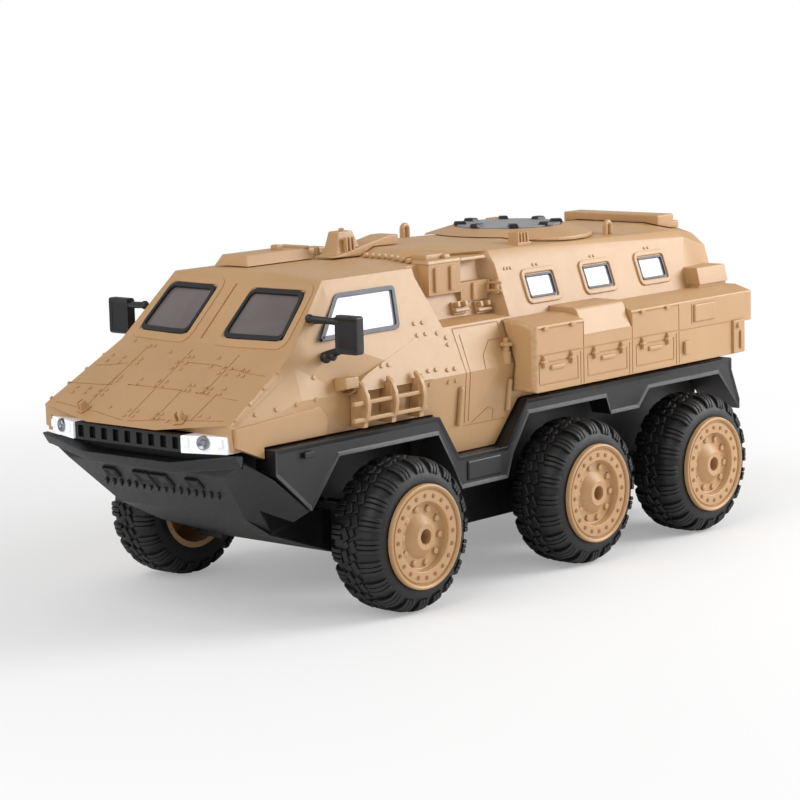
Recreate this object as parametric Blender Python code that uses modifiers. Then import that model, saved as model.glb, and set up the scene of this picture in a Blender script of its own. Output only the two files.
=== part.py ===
"""Six-wheeled armoured vehicle, a radio-controlled model, as separate named pieces.

Metres, +Z up, +X forward, +Y to the left. Every place along X is measured from the front axle,
inside the empty "vehicle", which puts the middle of the overall length over the origin.
"""
import math

import bmesh
import bpy
from mathutils import Matrix, Vector

MM = 0.001

# Clearances and walls
GAP = 0.3 * MM                     # between fixed pieces that touch
SEAM = 0.6 * MM                    # seam between the sand body and the black skirts
RUNNING = 0.25 * MM                # radial clearance of a turning shaft
WALL = 2.0 * MM                    # moulded shells

# Wheels and axles
TYRE_RADIUS = 34.0 * MM
TYRE_TREAD_INNER = 57.6 * MM       # tread edges, from the centreline
TYRE_TREAD_OUTER = 80.4 * MM
SHOULDER_DROP = 2.6 * MM
SIDEWALL_BULGE = 1.6 * MM
RIM_RADIUS = 23.0 * MM
RIM_FACE = 84.5 * MM               # rim's outer face, from the centreline
RIM_LIP = 1.8 * MM
RIM_SEAT_RADIUS = 20.0 * MM
RIM_BARREL_WALL = 1.8 * MM
RIM_RING = 6.0 * MM                # flat ring round the dish
DISH_DEPTH = 4.5 * MM
DISH_RADIUS = 15.0 * MM
DISC_THICKNESS = 2.5 * MM
BOSS_RADIUS = 8.6 * MM
BOSS_HEIGHT = 3.9 * MM
HUB_RADIUS = 5.0 * MM
HUB_LENGTH = 9.0 * MM
SHAFT_RADIUS = 2.0 * MM
SHAFT_RECESS = 6.0 * MM            # shaft end below the boss
MID_AXLE_X = -122.0 * MM
REAR_AXLE_X = -214.5 * MM
TYRE_SIDES = 24
RIM_SIDES = 24
ROUND_SIDES = 12
MOTOR_SIDES = 20
PIN_SIDES = 8

# Steering
KINGPIN_Y = 48.0 * MM
KINGPIN_RADIUS = 1.5 * MM
KNUCKLE_HALF_X = 5.5 * MM
KNUCKLE_INNER = 2.5 * MM           # knuckle's faces, inboard and outboard of the kingpin
KNUCKLE_OUTER = 6.5 * MM
KNUCKLE_HALF_Z = 10.2 * MM
BRACKET_ARM = 2.5 * MM
BRACKET_HALF_X = 7.0 * MM
BRACKET_REACH = 4.0 * MM           # bracket arms past the kingpin
BALL_RADIUS = 2.0 * MM
CUP_WALL = 1.1 * MM
CUP_HALF = 2.6 * MM
NECK_RADIUS = 1.3 * MM
NECK_LENGTH = 4.0 * MM
STEER_ARM = 14.0 * MM
STEER_ARM_Z = 40.2 * MM
STEER_ARM_THICKNESS = 3.1 * MM
PIN_RADIUS = 1.2 * MM
TIE_ROD_WIDTH = 3.0 * MM
TIE_ROD_HEIGHT = 3.0 * MM
EYE_WALL = 1.4 * MM
STEER_PLAY = 1.3 * MM              # room for the pins' arcs in the tie rod's slots
HORN_THICKNESS = 1.8 * MM
HORN_HALF_WIDTH = 2.8 * MM
SERVO_LENGTH = 23.0 * MM
SERVO_WIDTH = 12.0 * MM
SERVO_HEIGHT = 22.0 * MM
SERVO_SHAFT_INSET = 7.0 * MM

# Worm drive
WHEEL_TEETH = 16
GEAR_MODULE = 1.0 * MM
GEAR_FACE = 5.0 * MM
WORM_PITCH_RADIUS = 4.5 * MM
WORM_TURNS = 3
WORM_STEPS = 8
MOTOR_RADIUS = 12.0 * MM
MOTOR_LENGTH = 25.0 * MM
MOTOR_BORE_DEPTH = 5.0 * MM
MOTOR_JOURNAL_RADIUS = 1.2 * MM

# Sand body, half sections from the roof's middle to the sill
NOSE_X = 98.0 * MM
NOSE_Z = 88.5 * MM
CORNER_X = 89.5 * MM
CORNER_HALF = 57.0 * MM
CORNER_Z = 92.2 * MM
HOOD_BREAK_X = 50.0 * MM
HOOD_BREAK_Z = 118.0 * MM
HOOD_SIDE_X = 46.9 * MM
HOOD_SIDE_HALF = 52.0 * MM
HOOD_SIDE_Z = 116.6 * MM
SCREEN_TOP_X = 19.5 * MM
KINK_HALF = 21.4 * MM
CAB_ROOF_Z = 146.5 * MM
ROOF_EDGE_HALF = 45.0 * MM
ROOF_EDGE_Z = 144.5 * MM
BELT_HALF = 62.0 * MM
BELT_Z = 97.0 * MM
FACET_HALF = 57.5 * MM             # sunk cheek facet at the belt's height
SHOULDER_Z = 141.0 * MM
LEDGE_Z = 117.5 * MM
CAB_REAR_TOP_X = -39.0 * MM
CAB_REAR_LOW_X = -46.0 * MM
RECESS_HALF = 38.0 * MM
LEDGE_HALF = 45.0 * MM
CABIN_FRONT_X = -95.0 * MM
CABIN_BROW_X = -61.0 * MM
CABIN_FOOT_X = -52.0 * MM
CABIN_ROOF_Z = 150.0 * MM
CABIN_ROOF_REAR_Z = 147.0 * MM
CABIN_EDGE_HALF = 42.0 * MM
CABIN_EDGE_Z = 147.3 * MM
CABIN_EDGE_REAR_Z = 144.3 * MM
TAIL_CORNER_X = -243.0 * MM        # where the sides turn in to the rear wall
TAIL_ROOF_X = -263.0 * MM
TAIL_ROOF_Z = 145.3 * MM
TAIL_EDGE_HALF = 37.4 * MM
TAIL_EDGE_Z = 141.0 * MM
TAIL_SHOULDER_HALF = 44.4 * MM
TAIL_SHOULDER_Z = 135.0 * MM
TAIL_LEDGE_HALF = 48.0 * MM
TAIL_BELT_HALF = 58.0 * MM
REAR_X = -266.0 * MM
CORNER_BOX_FRONT_X = -235.5 * MM
CORNER_BOX_REAR_X = -259.5 * MM
CORNER_BOX_OUTER = 61.5 * MM
CORNER_BOX_TOP = 126.7 * MM
SILL_HALF = 59.5 * MM
SILL_Z = 80.5 * MM
SILL_LOW_HALF = 57.0 * MM
SILL_LOW_Z = 60.7 * MM
SILL_FRONT_X = -34.0 * MM
SILL_LOW_FRONT_X = -47.0 * MM
SILL_LOW_REAR_X = -79.5 * MM
SILL_REAR_X = -94.0 * MM
PANEL_FRONT_X = 22.0 * MM          # raised side panel, from its front point up to the ledge
PANEL_LOW_X = 10.0 * MM
PANEL_LOW_Z = 103.2 * MM
PANEL_HIGH_X = -28.0 * MM
PANEL_HIGH_Z = 115.1 * MM
CHEEK_RISE = 1.4 * MM              # raised panel on the cheek, over the front wheel
CHEEK_FRONT_TOP = 90.5 * MM
CHEEK_FRONT_LOW = 82.5 * MM
CHEEK_REAR_X = 38.0 * MM
CHEEK_REAR_TOP = 93.5 * MM
CHEEK_TIP_X = 33.0 * MM
CHEEK_TIP_Z = 88.0 * MM
CHEEK_FOOT_X = 34.0 * MM
CHEEK_FOOT_Z = 76.0 * MM

# Windows
WINDOW_SINK = 0.5 * MM
PANE_BACKING = 1.0 * MM
CAB_WINDOW_TOP = 138.0 * MM
CAB_WINDOW_LOW = 120.5 * MM
CAB_WINDOW_FRONT_LOW_X = 31.0 * MM
CAB_WINDOW_FRONT_TOP_X = 13.5 * MM
CAB_WINDOW_REAR_TOP_X = -23.5 * MM
CAB_WINDOW_REAR_LOW_X = -19.5 * MM
CABIN_WINDOW_TOP = 134.0 * MM
CABIN_WINDOW_LOW = 124.0 * MM
CABIN_WINDOW_WIDTH = 19.5 * MM
CABIN_WINDOW_FIRST = -123.3 * MM
CABIN_WINDOW_STEP = -43.5 * MM
CABIN_WINDOWS = 3
BACKING_EDGE = 2.5 * MM
SCREEN_PANE_TOP = 139.7 * MM
SCREEN_PANE_LOW = 121.3 * MM
SCREEN_PANE_INNER = 11.0 * MM
SCREEN_PANE_OUTER_TOP = 40.4 * MM
SCREEN_PANE_OUTER_LOW = 43.7 * MM

# Lower hull, skirts and bumper
TUB_FRONT_HALF = 34.0 * MM
TUB_REAR_HALF = 42.0 * MM
TUB_BOTTOM = 22.5 * MM
TUB_TOP = 78.4 * MM
TUB_WIDEN_X = -48.0 * MM
TUB_REAR_X = -258.0 * MM
BOW_START_X = 6.0 * MM
BOW_ROOT_X = 44.0 * MM
BOW_ROOT_Z = 36.0 * MM
BOW_MID_X = 64.0 * MM
BOW_MID_Z = 47.0 * MM
BOW_MID_HALF = 47.0 * MM
BOW_TIP_X = 85.0 * MM
BOW_TIP_Z = 69.0 * MM
BOW_TIP_HALF = 54.0 * MM
BOW_TIP_LOW_HALF = 48.1 * MM       # where the bow's side plates start at its tip
PLATE_SLOPE = 0.786                # rise of a side plate forwards, per unit
PLATE_LEAN = 0.577                 # and outwards, per unit
WING_REAR_X = 50.5 * MM            # rear end of the side plate, under the skirt's foot
WING_REAR_HALF = 54.0 * MM
WING_OUTER = 63.0 * MM
WING_EDGE = 0.8 * MM
BUMPER_LOW = 70.0 * MM
BUMPER_TOP = 75.2 * MM
BUMPER_SWEEP = 4.1 * MM            # rise of the bumper's ends
BUMPER_CENTRE_X = 96.0 * MM
BUMPER_CENTRE_HALF = 26.0 * MM
BUMPER_CORNER_X = 89.4 * MM
BUMPER_CORNER_HALF = 59.6 * MM
BUMPER_RAKE = 3.5 * MM
SKIRT_OUTER = 64.5 * MM
SKIRT_INNER = 53.0 * MM
SKIRT_FRONT_X = 71.0 * MM
SKIRT_REAR_X = -258.0 * MM
SKIRT_FLANGE = 3.7 * MM
ARCH_TOP = 72.0 * MM
ARCH_HALF = 32.0 * MM              # arch's flat top, each way from the axle
ARCH_FOOT_HALF = 50.0 * MM
ARCH_FOOT_Z = 51.0 * MM
STEP_BOTTOM = 45.5 * MM
STEP_FRONT_X = -47.5 * MM
STEP_REAR_X = -80.0 * MM
TAB_BOTTOM = 64.5 * MM
TAB_FRONT_X = -157.6 * MM
TAB_REAR_X = -180.0 * MM
FLAP_X = -264.5 * MM               # mud flap behind the rear wheel
FLAP_TOP = 59.0 * MM
FLAP_LOW = 53.0 * MM
RIB_THICKNESS = 2.0 * MM
RIB_TOP = 61.5 * MM
FRONT_RIB_X = -20.0 * MM
BOARD_RIB_X = -107.0 * MM
BOGIE_RIB_X = -168.0 * MM
MOTOR_RIB_X = -228.5 * MM

# Front end
LAMP_INNER = 33.0 * MM
LAMP_OUTER = 54.0 * MM
LAMP_TOP = 87.0 * MM
LAMP_BOTTOM = 79.6 * MM
LAMP_INNER_X = 95.0 * MM
LAMP_OUTER_X = 88.2 * MM
LAMP_DEPTH = 8.0 * MM
GRILLE_X = 94.0 * MM
GRILLE_DEPTH = 4.0 * MM
GRILLE_SLOTS = 9
GRILLE_SLOT_WIDTH = 3.6 * MM
GRILLE_RAIL = 1.2 * MM

# Fittings on the body
LOCKER_FACE = 75.0 * MM
LOCKER_TOP = 117.0 * MM
LOCKER_EDGE_Z = 114.3 * MM
LOCKER_BOTTOM = 84.0 * MM
LOCKER_FRONT_X = -87.4 * MM
LOCKER_REAR_X = -260.0 * MM
LOCKER_UNDERCUT_X = -249.0 * MM    # rear end of the lockers' lower part
LOCKER_UNDERCUT_Z = 99.5 * MM
LOCKER_LIP = 9.0 * MM              # width of the sloping top
RACK_FACE = 66.5 * MM
RACK_BAR = 1.8 * MM
RACK_FRONT_X = 24.0 * MM
RACK_REAR_X = -23.0 * MM
RACK_LOW_Z = 85.0 * MM
RACK_HIGH_Z = 92.2 * MM
RACK_POST_LOW = 82.0 * MM
RACK_POST_TOP = 99.0 * MM
RACK_POSTS = 3
MIRROR_X = 30.0 * MM
MIRROR_INNER = 63.7 * MM
MIRROR_OUTER = 76.3 * MM
MIRROR_LOW = 115.7 * MM
MIRROR_HIGH = 132.0 * MM
MIRROR_THICKNESS = 4.5 * MM
MIRROR_ARM_RADIUS = 1.2 * MM
HATCH_X = -162.0 * MM
HATCH_RADIUS = 41.0 * MM
HATCH_TOP_RADIUS = 28.0 * MM
HATCH_TOP_Z = 152.2 * MM
LID_RADIUS = 25.5 * MM
LID_SEAT = 1.6 * MM
LID_RISE = 0.8 * MM
BEAM_FRONT_X = -244.0 * MM
BEAM_REAR_X = -257.5 * MM
BEAM_HALF = 30.0 * MM
BEAM_TOP = 151.0 * MM
BEAM_BASE_REAR_X = -262.0 * MM
BEAM_BASE_TOP = 147.4 * MM
DRIVER_HATCH_FRONT_X = 10.0 * MM
DRIVER_HATCH_REAR_X = -35.0 * MM
DRIVER_HATCH_INNER = -9.0 * MM
DRIVER_HATCH_OUTER = -30.0 * MM
DRIVER_HATCH_TOP = 151.5 * MM
FAIRING_FRONT_X = -33.0 * MM
FAIRING_PEAK_X = -71.0 * MM
FAIRING_REAR_X = -78.0 * MM
FAIRING_TOP = 154.6 * MM
FAIRING_WIDTH = 12.0 * MM
SENSOR_FRONT_X = -38.0 * MM
SENSOR_REAR_X = -53.0 * MM
SENSOR_TOP = 158.5 * MM
STOWAGE_DEEP = 44.5 * MM           # outer faces of the two boxes behind the cab
STOWAGE_HIGH_FRONT_X = -51.0 * MM
STOWAGE_HIGH_REAR_X = -73.0 * MM
STOWAGE_HIGH_TOP = 144.5 * MM
STOWAGE_HIGH_LOW = 130.5 * MM
STOWAGE_LOW_REAR_X = -92.0 * MM
STOWAGE_LOW_TOP = 134.5 * MM
STOWAGE_LOW_LOW = 125.5 * MM

# Electrics
BATTERY_LENGTH = 68.0 * MM
BATTERY_WIDTH = 34.0 * MM
BATTERY_HEIGHT = 15.0 * MM
BATTERY_X = -62.0 * MM
BATTERY_ROOM = 2.0 * MM
BOARD_LENGTH = 92.0 * MM
BOARD_WIDTH = 48.0 * MM
BOARD_THICKNESS = 1.6 * MM
SWITCH_X = -150.0 * MM
SWITCH_Y = 20.0 * MM
SWITCH_KNOB = 4.0 * MM
SWITCH_TRAVEL = 4.0 * MM
SWITCH_PLATE = 1.2 * MM
SWITCH_LAP = 1.5 * MM

# Worked out from the sizes above
AXLE_Z = TYRE_RADIUS
AXLES = {"front": 0.0, "mid": MID_AXLE_X, "rear": REAR_AXLE_X}
SIDES = {"left": 1.0, "right": -1.0}
FRONT_AXLE_X = -(NOSE_X + REAR_X) / 2
SIDE_LEAN = (BELT_HALF - ROOF_EDGE_HALF) / (ROOF_EDGE_Z - BELT_Z)
SCREEN_SLOPE = (CAB_ROOF_Z - HOOD_BREAK_Z) / (HOOD_BREAK_X - SCREEN_TOP_X)
SKIN_Y = 1.5 * WALL                # wall of a leaning side, measured along Y
SKIN_X = 1.5 * WALL / SCREEN_SLOPE
WHEEL_PITCH_RADIUS = WHEEL_TEETH * GEAR_MODULE / 2
WORM_Z = AXLE_Z + WHEEL_PITCH_RADIUS + WORM_PITCH_RADIUS
WORM_PITCH = math.pi * GEAR_MODULE
TUB_FLOOR = TUB_BOTTOM + WALL
SHAFT_END = RIM_FACE - DISH_DEPTH + BOSS_HEIGHT - SHAFT_RECESS
TIE_ROD_Z = STEER_ARM_Z + STEER_ARM_THICKNESS + SEAM
HORN_Z = TIE_ROD_Z + TIE_ROD_HEIGHT + SEAM
SERVO_Z = HORN_Z + HORN_THICKNESS + SEAM
HORN_PIVOT_X = 2 * STEER_ARM

for old in list(bpy.data.objects):
    bpy.data.objects.remove(old, do_unlink=True)


def new_collection(name):
    collection = bpy.data.collections.new(name)
    bpy.context.scene.collection.children.link(collection)
    return collection


parts = new_collection("armoured_vehicle")
cutters = new_collection("armoured_vehicle_cutters")
vehicle = bpy.data.objects.new("vehicle", None)
vehicle.location = (FRONT_AXLE_X, 0.0, 0.0)
parts.objects.link(vehicle)


def finish(name, colour, roughness, metallic=0.0):
    """A Principled material of one colour."""
    material = bpy.data.materials.new(name)
    material.use_nodes = True
    shader = material.node_tree.nodes["Principled BSDF"]
    shader.inputs["Base Color"].default_value = (*colour, 1.0)
    shader.inputs["Roughness"].default_value = roughness
    shader.inputs["Metallic"].default_value = metallic
    return material


SAND = finish("sand_plastic", (0.56, 0.36, 0.17), 0.5)
BLACK = finish("black_plastic", (0.02, 0.02, 0.023), 0.55)
RUBBER = finish("tyre_rubber", (0.015, 0.015, 0.016), 0.75)
SMOKED = finish("smoked_glazing", (0.12, 0.11, 0.11), 0.25)
BRIGHT = finish("bright_glazing", (0.8, 0.82, 0.86), 0.15)
CLEAR = finish("lamp_lens", (0.85, 0.87, 0.9), 0.15)
GREY = finish("grey_lid", (0.5, 0.52, 0.58), 0.4)
STEEL = finish("steel", (0.55, 0.55, 0.56), 0.35, 1.0)
NYLON = finish("white_nylon", (0.75, 0.74, 0.7), 0.5)
CELL = finish("battery_wrap", (0.05, 0.14, 0.4), 0.45)
BOARD = finish("circuit_board", (0.03, 0.2, 0.08), 0.5)


def solid(name, form, material=None):
    """Object from a bmesh, in the vehicle's frame."""
    mesh = bpy.data.meshes.new(name)
    form.to_mesh(mesh)
    form.free()
    thing = bpy.data.objects.new(name, mesh)
    parts.objects.link(thing)
    thing.parent = vehicle
    if material:
        mesh.materials.append(material)
    return thing


def block(name, low, high, material=None):
    """Box between two corners."""
    low = Vector(low)
    high = Vector(high)
    form = bmesh.new()
    bmesh.ops.create_cube(form, size=1.0)
    place = Matrix.Translation((low + high) / 2) @ Matrix.Diagonal((*(high - low), 1.0))
    bmesh.ops.transform(form, matrix=place, verts=form.verts)
    return solid(name, form, material)


def rod(name, start, end, radius, material=None, sides=ROUND_SIDES):
    """Round bar between two points."""
    start = Vector(start)
    end = Vector(end)
    span = end - start
    form = bmesh.new()
    bmesh.ops.create_cone(form, cap_ends=True, segments=sides, radius1=radius, radius2=radius,
                          depth=span.length)
    turn = span.to_track_quat("Z", "Y").to_matrix().to_4x4()
    place = Matrix.Translation((start + end) / 2) @ turn
    bmesh.ops.transform(form, matrix=place, verts=form.verts)
    return solid(name, form, material)


def ball(name, centre, radius):
    form = bmesh.new()
    bmesh.ops.create_uvsphere(form, u_segments=ROUND_SIDES, v_segments=8, radius=radius)
    bmesh.ops.transform(form, matrix=Matrix.Translation(centre), verts=form.verts)
    return solid(name, form)


PLATE_TURNS = {
    "X": Matrix(((0, 0, 1, 0), (1, 0, 0, 0), (0, 1, 0, 0), (0, 0, 0, 1))),
    "Y": Matrix(((1, 0, 0, 0), (0, 0, -1, 0), (0, 1, 0, 0), (0, 0, 0, 1))),
    "Z": Matrix.Identity(4),
}


def plate(name, outlines, axis, low, high, material=None):
    """Flat outlines, the first the edge and the rest holes, extruded along an axis."""
    curve = bpy.data.curves.new(name, "CURVE")
    curve.dimensions = "2D"
    curve.fill_mode = "BOTH"
    curve.extrude = abs(high - low) / 2
    for outline in outlines:
        spline = curve.splines.new("POLY")
        spline.points.add(len(outline) - 1)
        spline.use_cyclic_u = True
        for point, (across, up) in zip(spline.points, outline):
            point.co = (across, up, 0.0, 1.0)
    guide = bpy.data.objects.new(name + "_outline", curve)
    parts.objects.link(guide)
    graph = bpy.context.evaluated_depsgraph_get()
    flat = bpy.data.meshes.new_from_object(guide.evaluated_get(graph))
    bpy.data.objects.remove(guide)
    form = bmesh.new()
    form.from_mesh(flat)
    bmesh.ops.remove_doubles(form, verts=form.verts, dist=0.01 * MM)
    shift = Vector((0, 0, 0))
    shift["XYZ".index(axis)] = (low + high) / 2
    place = Matrix.Translation(shift) @ PLATE_TURNS[axis]
    bmesh.ops.transform(form, matrix=place, verts=form.verts)
    bmesh.ops.recalc_face_normals(form, faces=form.faces)
    return solid(name, form, material)


def loft(name, rings, material=None):
    """Skin through rings of points, closed at both ends."""
    form = bmesh.new()
    rows = [[form.verts.new(point) for point in ring] for ring in rings]
    for row, after in zip(rows, rows[1:]):
        for index, vertex in enumerate(row):
            following = (index + 1) % len(row)
            # The diagonals of the two halves of a ring mirror each other
            if index < len(row) // 2:
                form.faces.new((vertex, row[following], after[following]))
                form.faces.new((vertex, after[following], after[index]))
            else:
                form.faces.new((vertex, row[following], after[index]))
                form.faces.new((row[following], after[following], after[index]))
    for row in (rows[0], rows[-1]):
        # Close the end with a zigzag between its two halves
        first = 0
        last = len(row) - 1
        while last - first > 1:
            form.faces.new((row[first], row[first + 1], row[last]))
            first += 1
            if last - first > 1:
                form.faces.new((row[first], row[last - 1], row[last]))
                last -= 1
    bmesh.ops.recalc_face_normals(form, faces=form.faces)
    return solid(name, form, material)


def turned(name, outline, steps, place, side, material):
    """Closed outline of (radius, height) turned about the axle, its heights away from the middle."""
    half_step = math.pi / steps
    mesh = bpy.data.meshes.new(name)
    points = [(radius * math.cos(half_step), radius * math.sin(half_step), height)
              for radius, height in outline]
    edges = [(index, (index + 1) % len(points)) for index in range(len(points))]
    mesh.from_pydata(points, edges, [])
    mesh.materials.append(material)
    thing = bpy.data.objects.new(name, mesh)
    parts.objects.link(thing)
    thing.parent = place
    thing.rotation_euler = (-side * math.pi / 2, 0.0, 0.0)
    screw = thing.modifiers.new("turn", "SCREW")
    screw.steps = steps
    screw.render_steps = steps
    screw.use_merge_vertices = True
    screw.merge_threshold = 0.01 * MM
    return thing


def combine(part, other, operation):
    """Cut another shape from a part, or fuse it on; the other becomes a hidden guide."""
    parts.objects.unlink(other)
    cutters.objects.link(other)
    other.hide_render = True
    other.display_type = "WIRE"
    modifier = part.modifiers.new(other.name, "BOOLEAN")
    modifier.operation = operation
    modifier.object = other
    modifier.use_self = True


def cut(part, *others):
    for other in others:
        combine(part, other, "DIFFERENCE")


def fuse(part, *others):
    for other in others:
        combine(part, other, "UNION")


def cut_again(part, guide):
    """Cut with a guide that already serves another part."""
    modifier = part.modifiers.new(guide.name, "BOOLEAN")
    modifier.operation = "DIFFERENCE"
    modifier.object = guide
    modifier.use_self = True


def pivot(name, place, parent=vehicle):
    """Empty on a joint's axis; place is in the vehicle's frame."""
    empty = bpy.data.objects.new(name, None)
    parts.objects.link(empty)
    empty.parent = parent
    base = Vector((0, 0, 0)) if parent is vehicle else Vector(parent["place"])
    empty["place"] = place
    empty.location = Vector(place) - base
    return empty


def carry(part, empty):
    """Hang a part that is modelled in the vehicle's frame on a joint's empty."""
    part.parent = empty
    part.matrix_parent_inverse = Matrix.Translation(-Vector(empty["place"]))


def mirrored(points, side):
    return [(x, side * y, z) for x, y, z in points]


def side_y(z):
    """Leaning upper side of the body."""
    return BELT_HALF - SIDE_LEAN * (z - BELT_Z)


def side_skin(x, z):
    """Upper side with its draw towards the hood, ahead of the windscreen's top."""
    ahead = max(0.0, (x - SCREEN_TOP_X) / (HOOD_SIDE_X - SCREEN_TOP_X))
    return side_y(z) - ahead * (side_y(HOOD_SIDE_Z) - HOOD_SIDE_HALF)


def screen_x(z):
    """Windscreen's slope."""
    return HOOD_BREAK_X - (z - HOOD_BREAK_Z) / SCREEN_SLOPE


def screen_skin(y, z):
    """Windscreen with its outer parts swept back from the roof's kink to the corner posts."""
    down = (ROOF_EDGE_Z - z) / (ROOF_EDGE_Z - HOOD_SIDE_Z)
    half = ROOF_EDGE_HALF + down * (HOOD_SIDE_HALF - ROOF_EDGE_HALF)
    post_x = SCREEN_TOP_X + down * (HOOD_SIDE_X - SCREEN_TOP_X)
    share = max(0.0, (abs(y) - KINK_HALF) / (half - KINK_HALF))
    return screen_x(z) + share * (post_x - screen_x(z))


def between(start, end, share):
    return Vector(start).lerp(Vector(end), share)


# Body shell: a loft through half sections, hollowed by the same loft drawn in by the wall


def body_sections():
    """Half sections with the share of the wall by which each draws in along X."""
    corner = (CORNER_X, CORNER_HALF, CORNER_Z)
    nose_sill = (CORNER_X - WALL, CORNER_HALF, SILL_Z)
    hood_side = (HOOD_SIDE_X, HOOD_SIDE_HALF, HOOD_SIDE_Z)
    facet_low = (HOOD_SIDE_X, FACET_HALF, BELT_Z)
    nose = [(NOSE_X, 0, NOSE_Z), (NOSE_X, KINK_HALF, NOSE_Z), corner]
    nose += [between(corner, nose_sill, share) for share in (0.2, 0.4, 0.7)]
    nose += [nose_sill]
    hood = [(HOOD_BREAK_X, 0, HOOD_BREAK_Z), (HOOD_BREAK_X, KINK_HALF, HOOD_BREAK_Z), hood_side]
    hood += [between(hood_side, facet_low, share) for share in (0.15, 0.3)]
    hood += [facet_low, (HOOD_SIDE_X, FACET_HALF, SILL_Z)]
    screen = [(SCREEN_TOP_X, 0, CAB_ROOF_Z), (SCREEN_TOP_X, KINK_HALF, CAB_ROOF_Z)]
    screen += [(SCREEN_TOP_X, ROOF_EDGE_HALF, ROOF_EDGE_Z)]
    screen += [(SCREEN_TOP_X, side_y(SHOULDER_Z), SHOULDER_Z)]
    screen += [(SCREEN_TOP_X, side_y(LEDGE_Z) - GAP, LEDGE_Z)]
    screen += [(SCREEN_TOP_X, FACET_HALF, BELT_Z), (SCREEN_TOP_X, FACET_HALF, SILL_Z)]
    cab = [(CAB_REAR_TOP_X, 0, CAB_ROOF_Z), (CAB_REAR_TOP_X, KINK_HALF, CAB_ROOF_Z)]
    cab += [(CAB_REAR_TOP_X, ROOF_EDGE_HALF, ROOF_EDGE_Z)]
    cab += [(CAB_REAR_TOP_X, side_y(SHOULDER_Z), SHOULDER_Z)]
    cab += [(CAB_REAR_LOW_X, side_y(LEDGE_Z), LEDGE_Z)]
    cab += [(SILL_FRONT_X, BELT_HALF, BELT_Z), (SILL_FRONT_X, SILL_HALF, SILL_Z)]
    step = Vector((-WALL, 0, 0))
    recess = [Vector(cab[0]) + step, Vector(cab[1]) + step]
    recess += [(CAB_REAR_TOP_X - WALL, RECESS_HALF, ROOF_EDGE_Z)]
    recess += [(CAB_REAR_LOW_X - WALL, LEDGE_HALF, LEDGE_Z + WALL)]
    recess += [(CAB_REAR_LOW_X - WALL, side_y(LEDGE_Z), LEDGE_Z)]
    recess += [(SILL_LOW_FRONT_X, BELT_HALF, BELT_Z), (SILL_LOW_FRONT_X, SILL_LOW_HALF, SILL_LOW_Z)]
    back = [(CABIN_FOOT_X, 0, CAB_ROOF_Z), (CABIN_FOOT_X, KINK_HALF, CAB_ROOF_Z)]
    back += [(CABIN_FRONT_X + 2 * WALL, RECESS_HALF, ROOF_EDGE_Z)]
    back += [(CABIN_FRONT_X + WALL, LEDGE_HALF, LEDGE_Z + WALL)]
    back += [(CABIN_FRONT_X + WALL, side_y(LEDGE_Z), LEDGE_Z)]
    back += [(SILL_LOW_REAR_X, BELT_HALF, BELT_Z), (SILL_LOW_REAR_X, SILL_LOW_HALF, SILL_LOW_Z)]
    cabin = [(CABIN_BROW_X, 0, CABIN_ROOF_Z), (CABIN_BROW_X, KINK_HALF, CABIN_ROOF_Z)]
    cabin += [(CABIN_FRONT_X, CABIN_EDGE_HALF, CABIN_EDGE_Z)]
    cabin += [(CABIN_FRONT_X, side_y(SHOULDER_Z), SHOULDER_Z)]
    cabin += [(CABIN_FRONT_X, side_y(LEDGE_Z), LEDGE_Z)]
    cabin += [(SILL_REAR_X, BELT_HALF, BELT_Z), (SILL_REAR_X, SILL_HALF, SILL_Z)]
    turn = [(TAIL_CORNER_X, 0, CABIN_ROOF_REAR_Z), (TAIL_CORNER_X, KINK_HALF, CABIN_ROOF_REAR_Z)]
    turn += [(TAIL_CORNER_X, CABIN_EDGE_HALF, CABIN_EDGE_REAR_Z)]
    turn += [(TAIL_CORNER_X, side_y(SHOULDER_Z), SHOULDER_Z)]
    turn += [(TAIL_CORNER_X, side_y(LEDGE_Z), LEDGE_Z)]
    turn += [(TAIL_ROOF_X, BELT_HALF, BELT_Z), (TAIL_ROOF_X, SILL_HALF, SILL_Z)]
    tail = [(TAIL_ROOF_X, 0, TAIL_ROOF_Z), (TAIL_ROOF_X, KINK_HALF, TAIL_ROOF_Z)]
    tail += [(TAIL_ROOF_X, TAIL_EDGE_HALF, TAIL_EDGE_Z)]
    tail += [(TAIL_ROOF_X - WALL / 2, TAIL_SHOULDER_HALF, TAIL_SHOULDER_Z)]
    tail += [(REAR_X, TAIL_LEDGE_HALF, LEDGE_Z), (REAR_X, TAIL_BELT_HALF, BELT_Z)]
    tail += [(REAR_X, TAIL_BELT_HALF, SILL_Z)]
    return [(nose, -3.0), (hood, 0.0), (screen, 0.0), (cab, 1.0), (recess, 1.0), (back, -1.0),
            (cabin, -1.0), (turn, 0.0), (tail, 1.0)]


def body_loft(name, inset, sill_drop, material=None):
    """The body's outer form, drawn in by inset; the sill moves down by sill_drop."""
    draw_y = (0.0, 0.0, 1.0, 1.1, 1.1, 1.1, 1.1)
    draw_z = (1.4, 1.4, 1.4, 1.0, 1.0, 0.0, 0.0)
    rings = []
    for points, draw_x in body_sections():
        half = []
        for index, (x, y, z) in enumerate(points):
            drop = sill_drop if index == len(points) - 1 else draw_z[index] * inset
            half.append(Vector((x + draw_x * inset, y - draw_y[index] * inset, z - drop)))
        other = [Vector((x, -y, z)) for x, y, z in reversed(half[1:])]
        rings.append(half + other)
    return loft(name, rings, material)


upper_hull = body_loft("upper_hull", 0.0, 0.0, SAND)
cut(upper_hull, body_loft("body_hollow", WALL, 10 * WALL))
body_fit = body_loft("body_fit", -GAP, GAP)

mouth_low = (LAMP_INNER_X - LAMP_DEPTH - 3 * WALL, -LAMP_OUTER - GAP, SILL_Z - WALL)
mouth_high = (NOSE_X + WALL, LAMP_OUTER + GAP, LAMP_TOP + GAP)
cut(upper_hull, block("mouth", mouth_low, mouth_high))

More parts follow.
